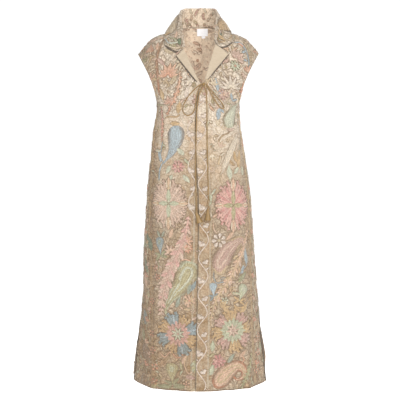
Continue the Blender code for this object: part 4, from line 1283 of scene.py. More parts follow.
class Work:
    """Raised stitching for one cloth face, gathered as strips of flat places."""

    def __init__(self, cloth, name):
        self.cloth, self.name = cloth, name
        self.flat, self.lift, self.stitch, self.colour, self.faces = [], [], [], [], []
        self.count = 0
        self.taken = []
        self.edge = "shade"
        # front work takes painted shade toward the sides and dimming toward the hem, and lapels hide part of
        # it
        self.tinted = "front" in name

    def outline(self, line, half, level=0, thread="shade", more=OUTLINE_MORE):
        """The brown line round a shape, as a slightly wider strip under it: partly an outline thread, partly
        painted shade where the stitching sinks into the cloth.
        """
        half = np.asarray(half, float) + more
        profile = FLAT_PROFILE if half.max() < FLAT_LIMIT else STRIP_PROFILE
        self.strip(line, half, OUTLINE_HEIGHT, thread, level, None, profile)

    def strip(self, line, half, height, thread, level=0, tip=None, profile=None):
        """Stitching laid along a line; its thread may change to another toward the tip."""
        line = np.asarray(line, float)
        n = len(line)
        half = np.broadcast_to(np.asarray(half, float), (n,))
        way = unit(np.gradient(line, axis=0))
        out = np.stack([-way[:, 1], way[:, 0]], -1)
        profile = np.array(profile or (CORD_PROFILE if half.max() < THIN else STRIP_PROFILE))
        width, crown = profile[:, 0], profile[:, 1]
        m = len(profile)
        flat = line[:, None, :] + out[:, None, :] * (half[:, None] * width[None, :])[..., None]
        full = np.minimum(1.0, half / max(half.max(), 1e-6) * CROWN_GROWTH)[:, None]
        lift = height * full * np.maximum(crown, 0)[None, :] + LEVEL_LIFT * level
        lift = lift - SINK * (crown < 0)[None, :]
        stitch = np.zeros((n, m, 3))
        stitch[..., 0] = run_of(line)[:, None]
        stitch[..., 1] = half[:, None] * width[None, :]
        first, last = (np.array(linear(THREADS[name])) for name in (thread, tip or thread))
        mix = np.linspace(0, 1, n)[:, None, None]
        colour = first * (1 - mix) + last * mix + np.zeros((n, m, 1))
        # painted shade on the sunk margins of wide strips, in the shade thread's colour
        if m == len(STRIP_PROFILE):
            share = RIM_SHARE * min(1.0, half.max() / RIM_FULL) * (WHITE_RIM if thread == "white" else 1.0)
            rim = np.where(np.abs(width) > 0.9, share, 0.0)[None, :, None]
            colour = colour * (1 - rim) + np.array(linear(THREADS["shade"])) * rim
        number = self.count + np.arange(n * m).reshape(n, m)
        self.flat.append(flat.reshape(-1, 2))
        self.lift.append(lift.reshape(-1))
        self.stitch.append(stitch.reshape(-1, 3))
        self.colour.append(colour.reshape(-1, 4))
        self.faces.append(grid_faces(number))
        self.count += n * m

    def line(self, points, half, thread, height=0.0008, level=0, tip=None):
        """A narrow stitched line through a few places."""
        line = through(points)
        self.strip(line, half * pointed(line), height, thread, level, tip)

    def petal(self, root, angle, start, end, half, thread, kind="leaf", height=0.0011, level=1,
              tip=None, bend=0.0, edge="own"):
        """A filled petal or leaf from start to end along an angle; edge names its outline thread."""
        length = end - start
        count = max(6, int(length / STITCH_STEP) + 2)
        u = np.linspace(0, 1, count)
        if kind == "fan":
            width = (0.22 + 0.78 * u**0.9) * np.sqrt(np.clip(1 - (np.clip(u - 0.8, 0, 1) / 0.2)**2, 0, 1))
        elif kind == "drop":
            width = np.where(u > 0.999, 0.02, np.sin(pi * u**1.7) ** 0.7 * (0.3 + 0.7 * u))
        elif kind == "rib":
            width = (0.45 + 0.55 * np.sin(pi * u**1.2)) * np.sqrt(np.clip(1 - u**6, 0, 1))
        else:
            width = np.sin(pi * u**0.85) ** 0.85
        width = np.maximum(width, 0.03)
        arc = np.stack([start + length * u, bend * length * np.sin(pi * u * 0.5) ** 2], -1)
        spine = turned(arc, angle) + root
        if edge:
            self.outline(spine, half * width, max(level - 1, 0), self.edge if edge == "own" else edge)
        self.strip(spine, half * width, height, thread, level, tip)

    def round_line(self, centre, radius):
        """Line and half widths that make a disc."""
        u = np.linspace(-0.995, 0.995, max(6, int(radius / DISC_STEP)))
        return np.stack([centre[0] + radius * u, centre[1] + 0 * u], -1), radius * np.sqrt(1 - u * u)

    def disc(self, centre, radius, thread, height=0.0012, level=2):
        self.strip(*self.round_line(centre, radius), height, thread, level)

    def keep(self, centre, radius):
        """Take a round place, so that no filling is laid on it."""
        self.taken.append((centre[0], centre[1], radius))

    def keep_line(self, line, radius):
        """Take the places along a line; the radius may change along it."""
        for place, reach in zip(line[::3], np.broadcast_to(radius, len(line))[::3]):
            self.keep(place, reach)

    def is_free(self, centre, radius):
        return all(hypot(centre[0] - a, centre[1] - b) > radius + r for a, b, r in self.taken)

    def finish(self):
        """Lay the strips on the cloth as one piece, without what falls off it or under a lapel."""
        flat = np.concatenate(self.flat)
        lift = np.concatenate(self.lift)
        faces = np.concatenate(self.faces)
        points, inside = self.cloth.lay(flat[:, 0], flat[:, 1], lift)
        faces = faces[inside[faces].all(1)]
        if self.tinted:
            for corners in LAPELS.values():
                faces = faces[~under_lapel(points, corners)[faces].any(1)]
        corner = points[faces]
        normal = np.cross(corner[:, 1] - corner[:, 0], corner[:, 3] - corner[:, 0])
        normal = normal + np.cross(corner[:, 3] - corner[:, 2], corner[:, 1] - corner[:, 2])
        cloth_way, _ = self.cloth.lay(flat[:, 0], flat[:, 1], lift + 0.001)
        outward = (cloth_way - points)[faces[:, 0]]
        wrong = (normal * outward).sum(1) < 0
        faces[wrong] = faces[wrong][:, ::-1]
        used = np.unique(faces)
        renumber = np.zeros(len(points), int)
        renumber[used] = np.arange(len(used))
        colour = np.concatenate(self.colour)
        # painted shade toward the sides, and dimming toward the hem
        if self.tinted:
            colour[:, :3] *= 1 - np.array(SHADE_AND_DIMMING_DEPTH) * side_shade_and_hem_dimming(flat[:, 0], flat[:, 1])[:, None]
        values = (("stitch", np.concatenate(self.stitch)[used]), ("thread", colour[used]))
        item = mesh_item(self.name, points[used], renumber[faces], values, sharp=pi / 3)
        dress(item, THREAD)


# motifs: each is drawn in its own small frame, and set down at a flat place
def star_flower(work, at, radius, thread, heart, petals, turn=0.0):
    """A ring of rounded petals about a small heart."""
    for k in range(petals):
        angle = turn + 2 * pi * k / petals
        work.petal(at, angle, 0.18 * radius, radius, 0.80 * radius * sin(pi / petals), thread, "drop",
                   level=2)
    work.disc(at, 0.24 * radius, heart, level=4)
    work.keep(at, radius)


def carnation(work, at, radius, thread, second, heart, turn=0.0):
    """Two rings of broad uneven petals, the inner one over the outer."""
    for ring, (count, reach, level) in enumerate(((9, 1.0, 1), (7, 0.66, 4))):
        for k in range(count):
            angle = turn + 0.35 * ring + 2 * pi * k / count
            size = radius * reach * (1.0, 0.86, 0.95)[k % 3]
            work.petal(at, angle, 0.10 * radius, size, 0.86 * size * sin(pi / count),
                       second if (k + ring) % 3 == 1 else thread, "fan", 0.0016, level)
    work.disc(at, 0.20 * radius, heart, level=7)
    work.keep(at, radius)


def ribbed_fan(work, at, angle, spread, reach_of, start, thread, ribs):
    """A fan of ribs side by side, each with short lobes near an uneven outer edge."""
    second = SECOND_SHADE[thread]
    end = reach_of(angle)
    work.petal(at, angle, start * 0.9, end * 0.86, end * sin(spread / 2) * 0.84, second, "fan", 0.0004)
    for k in range(ribs):
        lean = angle + spread * ((k + 0.5) / ribs - 0.5)
        reach = reach_of(lean) * (1.0, 0.90, 1.03, 0.93, 1.0, 0.88)[k % 6]
        half = reach * spread / ribs * 0.46
        work.petal(at, lean, start, reach, half, second if k % 3 == 1 else thread, "rib", 0.0020, 2,
                   edge="shade")
        for side, share in ((-1, 0.72), (1, 0.84)):
            root = ahead(at, lean, share * reach)
            work.petal(root, lean + side * 0.6, 0.0, 0.17 * end, 0.045 * end, thread, "leaf", 0.0020, 4,
                       edge="shade")


def cross_medallion(work, at, wide, high, fans, cross, buds):
    """Four toothed fans, taller than wide, between a cross of leaves and buds."""
    def reach_of(lean):
        return 1.0 / hypot(cos(lean) / wide, sin(lean) / high)

    for k in range(4):
        ribbed_fan(work, at, pi / 4 + pi / 2 * k, radians(74), reach_of, 0.10 * wide, fans, 7)
    for k in range(4):
        angle = pi / 2 * k
        reach = reach_of(angle)
        work.petal(at, angle, 0.02 * wide, 0.58 * reach, 0.16 * wide, cross, "leaf", 0.0022, 6)
        work.petal(at, angle, 0.50 * reach, 1.02 * reach, 0.17 * wide, buds, "leaf", 0.0018, 6, "peach")
        for side in (-1, 1):
            work.petal(at, angle + 0.10 * side, 0.60 * reach, 0.92 * reach, 0.04 * wide, "cream",
                       "leaf", 0.0023, 8, edge=None)
    for share in (-0.6, 0.0, 0.6):
        work.keep(np.asarray(at) + (0.0, share * high), wide)


def wheel_flower(work, at, radius, fans, ring, ring_kind, star, turn):
    """Alternate toothed fans round a full ring of petals and a small star."""
    for k in range(8):
        angle = turn + 2 * pi * k / 8
        reach = radius * (1.0, 0.94, 1.05, 0.97)[k % 4]
        ribbed_fan(work, at, angle, radians(42), lambda lean, reach=reach: reach, 0.40 * radius,
                   fans[k % 2], 4)
    work.outline(*work.round_line(at, 0.50 * radius), 4)
    work.disc(at, 0.50 * radius, ring, 0.0012, 5)
    for k in range(16):
        angle = turn + 2 * pi * (k + 0.5) / 16
        work.petal(at, angle, 0.20 * radius, (0.60 if k % 2 else 0.54) * radius, 0.096 * radius, ring,
                   ring_kind, 0.0018, 6)
    for k in range(8):
        work.petal(at, turn + 2 * pi * k / 8, 0.03 * radius, 0.33 * radius, 0.060 * radius, star, "leaf",
                   0.0022, 9)
    work.disc(at, 0.06 * radius, "mauve", level=11)
    work.keep(at, radius)


def spray(work, at, angle, spread, count, length, half, thread, tip):
    """Separate leaves opening from one root, like a lily or an open leaf."""
    for k in range(count):
        share = k / (count - 1) - 0.5
        size = length * (1 - 0.5 * abs(share)) * (1.0, 0.9)[k % 2]
        work.petal(at, angle + spread * share, 0.06 * length, size, half, thread, "leaf", 0.0015, 2 + k % 2,
                   tip, bend=0.4 * share)
    work.keep(ahead(at, angle, 0.5 * length), 0.5 * length)


def scroll(work, points, half, thread, lobe, lobes, size):
    """A tonal scrolling band with rounded lobes along its outer side."""
    line = through(points)
    u = shares(line)
    width = half * (0.4 + 0.6 * np.sin(pi * u))
    work.outline(line, width, 0, work.edge)
    work.strip(line, width, 0.0014, thread, 2)
    heading = headings(line)
    for k in range(lobes):
        i = int((k + 0.5) / lobes * (len(line) - 1))
        side = 1 if k % 2 else -1
        work.petal(line[i], heading[i] + side, 0.0, size * (1 - 0.25 * (k % 3)), 0.27 * size, lobe,
                   "leaf", 0.0013, 1, bend=0.25 * side)
    work.keep_line(line, half + 0.35 * size)


def drop_width(spine, half):
    """Half widths of a curved drop, round at its first end and drawn out at its last."""
    u = shares(spine)
    round_end = np.sqrt(np.clip(1 - (1 - np.clip(u / 0.20, 0, 1)) ** 2, 0, 1))
    return np.maximum(half * round_end * (1 - 0.93 * smooth_step((u - 0.20) / 0.80) ** 0.9), 0.0010)


def knots(work, spine, width, thread, level):
    """Small seed knots scattered in rows over a filled shape."""
    way = unit(np.gradient(spine, axis=0))
    out = np.stack([-way[:, 1], way[:, 0]], -1)
    for k in range(2, len(spine) - 2, 2):
        for share in ((-0.55, 0.05, 0.60) if k % 4 else (-0.25, 0.35)):
            if width[k] > 0.006:
                work.disc(spine[k] + out[k] * share * width[k], 0.0013, thread, 0.0010, level)


def paisley(work, points, half, thread, rim, inner, rows):
    """A curved drop worked in rows, one within the other, with knots down its middle."""
    spine = through(points)
    count = len(spine)
    work.outline(spine, drop_width(spine, half) + 0.0012)
    work.strip(spine, drop_width(spine, half) + 0.0012, 0.0012, rim, 1)
    for k in range(rows):
        share = 1 - 0.27 * (k + 0.35)
        part = spine[int(0.045 * count * (k + 1)):int(count * (1 - 0.13 * (k + 0.6)))]
        width = drop_width(part, half * share)
        work.outline(part, width - 0.0004, 2 + 2 * k, "tan" if k else "brown")
        work.strip(part, width, 0.0012, inner if k == 1 else thread, 3 + 2 * k)
    width = drop_width(spine, half)
    knots(work, spine, 0.8 * width, SECOND_SHADE.get(thread, "tan") if rows > 1 else "brown", 3 + 2 * rows)
    work.keep_line(spine, width + 0.002)


def leaf(work, at, angle, length, half, thread, vein, bend=0.15, level=1):
    """One leaf with its vein."""
    work.petal(at, angle, 0.0, length, half, thread, "leaf", 0.0012, level, bend=bend)
    work.petal(at, angle, 0.08 * length, 0.86 * length, 0.0009, vein, "rib", 0.0013, level + 2,
               bend=bend, edge=None)
    work.keep(ahead(at, angle, 0.5 * length, 0.12 * length * np.sign(bend)), 0.4 * length)


def lobed_band(work, points, half, threads, lobes, size):
    """A long band of overlapping lobes set close along both sides of a stem, as on an open lace leaf."""
    line = through(points)
    u = shares(line)
    width = half * (0.30 + 0.70 * np.sin(pi * u**0.8))
    work.outline(line, width)
    heading = headings(line)
    for k in range(lobes):
        i = int((k + 0.5) / lobes * (len(line) - 1))
        reach = size * (0.45 + 0.55 * sin(pi * (k + 0.5) / lobes)) * (1.0 + 0.15 * sin(2.3 * k))
        for side in (-1, 1):
            work.petal(line[i], heading[i] + side * (1.05 + 0.15 * (k % 2)), 0.0, reach, 0.30 * reach,
                       threads[(k + (side > 0)) % len(threads)], "leaf", 0.0013, 1 + k % 2, bend=-0.3 * side,
                       edge="brown")
    work.strip(line, width, 0.0016, threads[0], 4, threads[-1])
    work.keep_line(line, half + 0.6 * size)


def feather(work, points, half, thread, vein):
    """A long pale leaf with slanting veins to both sides of its rib."""
    line = through(points)
    u = shares(line)
    width = half * np.maximum(np.sin(pi * u**0.9) ** 0.8, 0.06)
    work.outline(line, width, 0, "tan", 0.0014)
    work.strip(line, width, 0.0010, thread, 1)
    work.strip(line, 0.0010, 0.0010, vein, 3)
    heading = headings(line)
    for k in range(2, len(line) - 2, 2):
        for side in (-1, 1):
            work.petal(line[k], heading[k] + side * 0.7, 0.0, 1.25 * width[k], 0.0008, vein, "rib", 0.0010, 3,
                       edge=None)
    work.keep_line(line, half)


def bud(work, at, angle, length, half, thread, inner, sepals):
    """A round-ended bud with a paler middle, held by small leaves at its foot."""
    for lean in (-2.1, -1.1, 1.1, 2.1):
        work.petal(at, angle + lean, 0.0, 0.42 * length, 0.09 * length, sepals, "leaf", 0.0012, 1, bend=0.2)
    spine = through(bent_line(at, angle, length, ((1.0, 0.0), (0.6, 0.04), (0.0, 0.0))))
    width = drop_width(spine, half)
    work.outline(spine, width)
    work.strip(spine, width, 0.0016, thread, 2)
    part = spine[2:int(0.7 * len(spine))]
    work.strip(part, drop_width(part, 0.5 * half), 0.0012, inner, 4)
    knots(work, spine, 0.85 * width, sepals, 5)
    work.keep_line(spine, width + 0.002)


def tendril(work, at, angle, radius, turns, thread, half=0.0009):
    """A thin line that curls in on itself."""
    count = int(14 * turns) + 4
    a = np.linspace(0, 2 * pi * turns, count)
    r = radius * (1 - 0.82 * a / a[-1])
    curl = np.stack([r * np.cos(a) - radius, r * np.sin(a)], -1)
    work.strip(turned(curl, angle) + at, half * np.linspace(1, 0.7, count), 0.0010, thread, 1)


def blossom(work, at, angle, size, thread, heart):
    """Three rounded petals on a short stalk."""
    for lean in (-1.25, 0.0, 1.25):
        centre = ahead(at, angle + lean, 0.50 * size)
        work.outline(*work.round_line(centre, 0.46 * size), 2, "umber", 0.0012)
        work.disc(centre, 0.46 * size, thread, 0.0016, 3)
    work.petal(at, angle + pi, 0.0, 0.7 * size, 0.0012, thread, "rib", 0.0010, 1, edge=None)
    work.disc(at, 0.17 * size, heart, level=5)


def vine(work, line_of, start, end, wave, sway, thread, blooms, half, size):
    """A swinging stalk up a band; line_of gives the band's middle, blooms the thread and heart."""
    t = np.arange(start, end, -STITCH_STEP)
    stalk = np.stack([line_of(t) + sway * np.sin(2 * pi * (start - t) / wave), t], -1)
    work.strip(stalk, half + 0.0010, 0.0002, "umber", 0)
    work.strip(stalk, half, 0.0013, thread, 1)
    count = int((start - end) / (wave / 2))
    for k in range(count):
        height = start - (k + 0.5) * wave / 2
        side = 1 if k % 2 else -1
        centre = line_of(height) + side * sway * 0.15
        reach = size * (1.0, 0.85, 1.1, 0.92)[k % 4]
        blossom(work, (centre + side * 0.004, height - 0.10 * wave), -pi / 2 + side * 0.5, reach,
                *blooms[k % len(blooms)])
        leaf_at = (line_of(height) - side * sway * 0.55, height + 0.16 * wave)
        work.petal(leaf_at, pi / 2 + side * 0.9, 0, reach * 0.95, 0.17 * reach, blooms[k % len(blooms)][0],
                   "leaf", 0.0012, 2)


def sprig(work, at, angle, size, stalk, threads):
    """A short curving stalk with leaves to both sides and a bud."""
    curve = bent_line(at, angle, size, ((0, 0), (0.35, 0.10), (0.7, 0.06), (1.0, -0.10)))
    work.line(curve, 0.0009, stalk)
    for k, (share, side) in enumerate(((0.25, 1), (0.42, -1), (0.62, 1), (0.78, -1))):
        root = ahead(at, angle, share * size, 0.09 * (1 - share) * size)
        work.petal(root, angle + side * 0.9, 0, 0.34 * size, 0.075 * size, threads[k % len(threads)], "leaf",
                   0.0011, 1, bend=0.2 * side)
    work.petal(curve[-1], angle - 0.25, 0, 0.30 * size, 0.10 * size, threads[0], "drop", 0.0013, 2)
    work.keep(ahead(at, angle, 0.5 * size), 0.5 * size)


def curled_leaf(work, at, angle, size, thread, second):
    """A broad comma of a leaf with a smaller one turned against it, and a curl between."""
    side = 1 if sin(7.0 * angle) > 0 else -1
    work.petal(at, angle, 0.0, size, 0.21 * size, thread, "leaf", 0.0014, 1, bend=0.55 * side)
    work.petal(at, angle, 0.12 * size, 0.80 * size, 0.055 * size, second, "leaf", 0.0015, 3, bend=0.55 * side,
               edge=None)
    work.petal(at, angle - side * 1.2, 0.0, 0.62 * size, 0.15 * size, second, "leaf", 0.0013, 1,
               bend=-0.5 * side)
    tendril(work, at, angle + side * 1.9, 0.17 * size, 1.4, "brown", 0.0008)
    work.keep(ahead(at, angle, 0.42 * size, 0.12 * size * side), 0.46 * size)


def open_leaf(work, at, angle, size, thread, second):
    """A deep-cut leaf: lobes that swing out from a bent rib and a round tip."""
    side = 1 if sin(5.0 * angle) > 0 else -1
    arc = bent_line(at, angle, size, ((0, 0), (0.35, 0.10 * side), (0.7, 0.05 * side), (0.95, -0.16 * side)))
    line = through(arc)
    heading = headings(line)
    last = len(line) - 1
    for k, share in enumerate((0.12, 0.32, 0.52, 0.72, 0.90)):
        i = int(share * last)
        reach = size * (0.34, 0.44, 0.42, 0.34, 0.24)[k]
        for turn in (-1, 1):
            work.petal(line[i], heading[i] + 0.85 * turn, 0.0, reach, 0.26 * reach,
                       thread if k % 2 else second, "leaf", 0.0014, 1 + k % 2, bend=-0.35 * turn)
    work.line(arc, 0.0015, second, 0.0012, 4)
    work.keep(line[last // 2], 0.48 * size)


# palettes of the fillings, from the low cloth's browner ones to the finest lines
TONAL, WARM, PALE, FINE, ROSE = rows_of("""
    tan sand blush sage olive old_rose tan leaf umber
    peach blush tan old_rose mauve sand tan olive
    blush sand sage tan peach cream mint olive
    tan blush sand cream old_rose
    pink blush old_rose""")
SCATTER_TOP = 0.2        # above every panel


def try_places(work, tries, seed, size, palette, bottom, top, margin):
    """Chance places, turns and threads for fillings, where the cloth is still free."""
    chance = np.random.default_rng(seed)
    low, high = work.cloth.across.min(), work.cloth.across.max()
    for _ in range(tries):
        at = np.array([chance.uniform(low, high), chance.uniform(bottom, top)])
        reach = chance.uniform(0.7, 1.05) * size
        angle, pick = chance.uniform(0, 2 * pi), chance.random()
        first, second = (palette[k] for k in chance.integers(len(palette), size=2))
        _, inside = work.cloth.lay(at[:1], at[1:], np.zeros(1))
        if inside[0] and work.is_free(at, margin * reach):
            yield at, reach, angle, pick, first, second


def broad_scrolls(work, tries, seed, size, palette, bottom, top):
    """Large tonal leaves and scrolls that fill the wider free places."""
    work.edge = "brown"
    places = try_places(work, tries, seed, size, palette, bottom, top, 0.46)
    for at, reach, angle, pick, first, second in places:
        if pick < 0.34:
            curled_leaf(work, at, angle, reach, first, second)
        elif pick < 0.52:
            spray(work, at, angle, radians(120), 5, reach * 0.85, reach * 0.12, first, second)
        elif pick < 0.84:
            open_leaf(work, at, angle, reach, first, second)
        else:
            curve = bent_line(at, angle, reach, ((0, 0), (0.3, 0.16), (0.62, 0.06), (0.95, -0.16)))
            scroll(work, curve, 0.06 * reach, first, second, 5, 0.36 * reach)
    work.edge = "shade"


def fine_lines(work, tries, seed, size, bottom, top):
    """Thin curls and bent stalks in pale thread on the plainer cloth."""
    places = try_places(work, tries, seed, size, FINE, bottom, top, 0.42)
    for at, reach, angle, pick, first, second in places:
        if pick < 0.45:
            curve = bent_line(at, angle, reach, ((0, 0), (0.3, 0.18), (0.65, 0.10), (1.0, -0.18)))
            work.line(curve, 0.0012, first)
            tendril(work, curve[-1], angle - 0.8, 0.2 * reach, 1.3, second)
        elif pick < 0.75:
            tendril(work, at, angle, 0.35 * reach, 1.6, first, 0.0011)
            work.petal(at, angle + 2.4, 0.0, 0.6 * reach, 0.10 * reach, second, "leaf", 0.0008, 1, bend=0.4,
                       edge=first)
        else:
            for lean in (-0.7, 0.0, 0.7):
                work.petal(at, angle + lean, 0.0, 0.62 * reach, 0.09 * reach, first, "leaf", 0.0008, 1,
                           edge="tan")
        work.keep(at, 0.45 * reach)


def scatter(work, tries, seed, size, margin):
    """Fill what is left free with small sprigs, blossoms, leaves and curls."""
    work.edge = "brown"
    places = try_places(work, tries, seed, size, PALE, work.cloth.along[0], SCATTER_TOP, margin)
    for at, reach, angle, pick, first, second in places:
        if pick < 0.26:
            sprig(work, at, angle, reach * 1.3, "brown" if pick < 0.12 else "tan", (first, second))
        elif pick < 0.31:
            star_flower(work, at, reach * 0.46, first, second, (5, 6, 8)[int(pick * 100) % 3], angle)
        elif pick < 0.70:
            curled_leaf(work, at, angle, reach * 1.3, first, second)
        elif pick < 0.86:
            leaf(work, at, angle, reach * 1.05, reach * 0.24, first, second, 0.3)
            leaf(work, at, angle + 2.2, reach * 0.8, reach * 0.19, second, first, -0.3)
        else:
            tendril(work, at, angle, reach * 0.42, 1.5, "tan")
            work.petal(at, angle + pi, 0.0, reach * 0.5, reach * 0.14, first, "leaf", 0.0011, 1)
            work.keep(at, reach * 0.55)
    work.edge = "shade"


# ---- layout of the fronts
GRID = 0.00385           # the layout's step, near enough, for sizes
GRID_ANGLE = 0.00125     # the same step as a slope from the viewpoint, for places
GRID_COLUMN, GRID_ROW = 198.5, 150


def spot(work, column, row):
    """Flat place on a front from the layout's column and row, as seen from the viewpoint."""
    x, z, reach = 0.0, 0.0, -0.11 - VIEW_FROM[1]
    for _ in range(3):
        x = (column - GRID_COLUMN) * GRID_ANGLE * reach
        z = VIEW_FROM[2] + (GRID_ROW - row) * GRID_ANGLE * reach
        place = np.array(work.cloth.find(x, z))
        point, _ = work.cloth.lay(place[:1], place[1:], np.zeros(1))
        reach = point[0, 1] - VIEW_FROM[1]
    return place


def places_of(text):
    """Pairs of numbers from text."""
    return np.reshape([float(word) for word in text.split()], (-1, 2))


def spots(work, places):
    return [spot(work, column, row) for column, row in places]


def leaves(work, rows):
    """Leaves from rows of column, row, lean, length, half width as a share, thread and vein."""
    for column, row, lean, size, share, thread, vein in rows_of(rows):
        leaf(work, spot(work, column, row), radians(lean), size * GRID, share * size * GRID, thread, vein,
             0.3 if column % 2 else -0.2)


def stars(work, rows):
    """Small flowers from rows of column, row, radius, petals, thread and heart."""
    for column, row, radius, petals, thread, heart in rows_of(rows):
        star_flower(work, spot(work, column, row), radius * GRID, thread, heart, int(petals), 0.7 * row)


def sprays(work, rows):
    """Open leaves from rows of column, row, lean, spread, count, length, half, thread and tip."""
    for column, row, lean, spread, count, length, half, thread, tip in rows_of(rows):
        spray(work, spot(work, column, row), radians(lean), radians(spread), int(count), length * GRID,
              half * GRID, thread, tip)


def strokes(work, rows):
    """Stitched lines from rows of half width, thread, thread at the end, and places."""
    for half, thread, tip, *places in rows_of(rows):
        places = spots(work, np.reshape(places, (-1, 2)))
        if half > THIN:
            line = through(places)
            work.outline(line, half * pointed(line), 0, "brown", 0.0014)
        work.line(places, half, thread, 0.0012, 1, tip)


def curls(work, rows):
    """Curls from rows of column, row, turn, radius and thread."""
    for column, row, turn, radius, thread in rows_of(rows):
        tendril(work, spot(work, column, row), turn, radius * GRID, 1.5, thread, 0.0013)


RIM_PLACES = 36          # points of the shadow line along a lapel
BAND = 0.047             # width of the embroidered band along a front's edge
VINE_FOOT = -0.725       # the right front's vine ends here, the left front's runs on to the hem
BAND_BLOOMS = (("white", "cream"), ("white", "sand"), ("white", "blush"))
SIDE_BLOOMS = (("peach", "rust"), ("old_rose", "coral"), ("coral", "cream"), ("tan", "peach"))


def double_line(work, line_of, start, end, thread, apart=0.0036, half=0.0010, gap=0.0008):
    """Two lines of stitches side by side, and the shadow between them."""
    t = np.arange(start, end, -STITCH_STEP * 1.6)
    middle = line_of(t)
    for side in (-1, 1):
        work.strip(np.stack([middle + side * apart / 2, t], -1), half, 0.0010, thread, 1)
    work.strip(np.stack([middle, t], -1), gap, 0.0003, "shade", 0)


def bands(work, side, top):
    """The vine along the centre edge, the vine outside the side line, and the lines beside them."""
    edge_at, side_at = work.cloth.edge_at, work.cloth.side_at
    hem = HEM_Z + 0.006

    def centre(t):
        return edge_at(t) + side * BAND * 0.47 if side > 0 else shown_vine(t)

    def line(t):
        return side_line(side, t)

    def outer(t):
        return np.where(t > -0.62, 0.5 * (line(t) + side_at(t)), line(t) + side * 0.024)

    foot, sway = (hem, 0.0185) if side > 0 else (VINE_FOOT, -0.014)
    vine(work, centre, top, foot, 0.140, sway, "white", BAND_BLOOMS, 0.0020, 0.0160)
    double_line(work, lambda t: edge_at(t) + side * (BAND + 0.001), top - 0.02, hem, "cream")
    double_line(work, lambda t: edge_at(t) + side * 0.0030, -0.225, hem, "sand", 0.0030, 0.0009)
    double_line(work, line, -0.30, hem, "tan", 0.0058, gap=0.0022 if side < 0 else 0.0014)
    vine(work, outer, -0.31, hem, 0.086, 0.009, "mint", SIDE_BLOOMS, 0.0014, 0.0150)
    for t in np.arange(hem, -0.30, 0.012):
        if t > foot:
            work.keep((centre(t), t), 0.017)
        work.keep((line(t), t), 0.006)
        work.keep((outer(t), t), 0.013)


def painted_shadow_lines(work, side):
    """Painted shadow: dark lines along the left front's lapping edge, the open side edges and the hem, and on
    the front under the collar's end and the lapel's outer edge.
    """
    cloth = work.cloth
    hem = HEM_Z + 0.002
    # painted shadow along the left front's edge, where it laps over the right front
    if side > 0:
        t = np.arange(hem, -0.205, STITCH_STEP * 1.5)
        work.strip(np.stack([cloth.edge_at(t) + 0.0010, t], -1), 0.0017, 0.0007, "ink", 9)
    # painted shadow of the open slit, along the side edge
    t = np.arange(hem, SLIT_Z + 0.05, STITCH_STEP * 1.5)
    work.strip(np.stack([cloth.side_at(t) - side * 0.0036, t], -1), 0.0034, 0.0007, "ink", 9)
    # painted shadow along the hem
    line = cloth.across[2, 3:-3]
    work.strip(np.stack([line, np.full(len(line), hem + 0.0012)], -1), 0.0014, 0.0006, "shade", 3)
    # painted shadow on the front under the collar's front end
    leaf_end = CLOTH["collar"][0].points[-1 if side > 0 else 0]
    over = [p for p in leaf_end[-26:] if p[1] < -0.006 and p[0] * side > 0.05]
    under = through(np.array([cloth.find(p[0] + side * 0.0014, p[2] - 0.0034) for p in over[::2]]), 0.003)
    half = (0.0034 if side < 0 else 0.0024) * np.sin(pi * shares(under)) ** 0.5 + 0.0004
    work.strip(under, half, 0.0005, "ink", 9)
    # painted shadow on the front under the lapel's outer edge
    name = "lapel_left" if side > 0 else "lapel_right"
    peak, low = np.array(LAPELS[name][2]), np.array(LAPELS[name][4])
    away = np.array((side * 0.0022, -0.0018))
    u = np.linspace(0, 1, RIM_PLACES)
    rim = np.array([cloth.find(*(peak + away + (low - peak) * share)) for share in u])
    half = (0.0028 if side < 0 else 0.0018) * np.sin(pi * (0.08 + 0.84 * u)) ** 0.6
    work.strip(rim, half, 0.0005, "ink", 9)


def shown_vine(t):
    """The right front's vine, clear of the left front's edge that laps over it."""
    return -np.interp(-t, (0.15, 0.40, 0.62, 0.80, 1.378), (0.031, 0.029, 0.026, 0.024, 0.020))


def side_line(side, t):
    """Where the side band's line runs, as flat distance from the centre plane."""
    out = (0.196, 0.205, 0.213, 0.196, 0.182) if side < 0 else (0.192, 0.203, 0.224, 0.222, 0.232)
    return side * np.interp(-t, (0.28, 0.45, 0.75, 1.05, 1.378), out)


def fill_front(work, tries, seed):
    """Fill what is left free, from fine lines and broad leaves down to small sprigs."""
    fine_lines(work, tries, 10 * seed + 3, 0.044, -0.66, -0.27)
    broad_scrolls(work, 900, 10 * seed + 1, 0.056, TONAL, HEM_Z, -0.62)
    broad_scrolls(work, 400, 10 * seed + 2, 0.046, WARM, -0.28, 0.1)
    scatter(work, 2600, seed, 0.025, 0.50)
    work.finish()


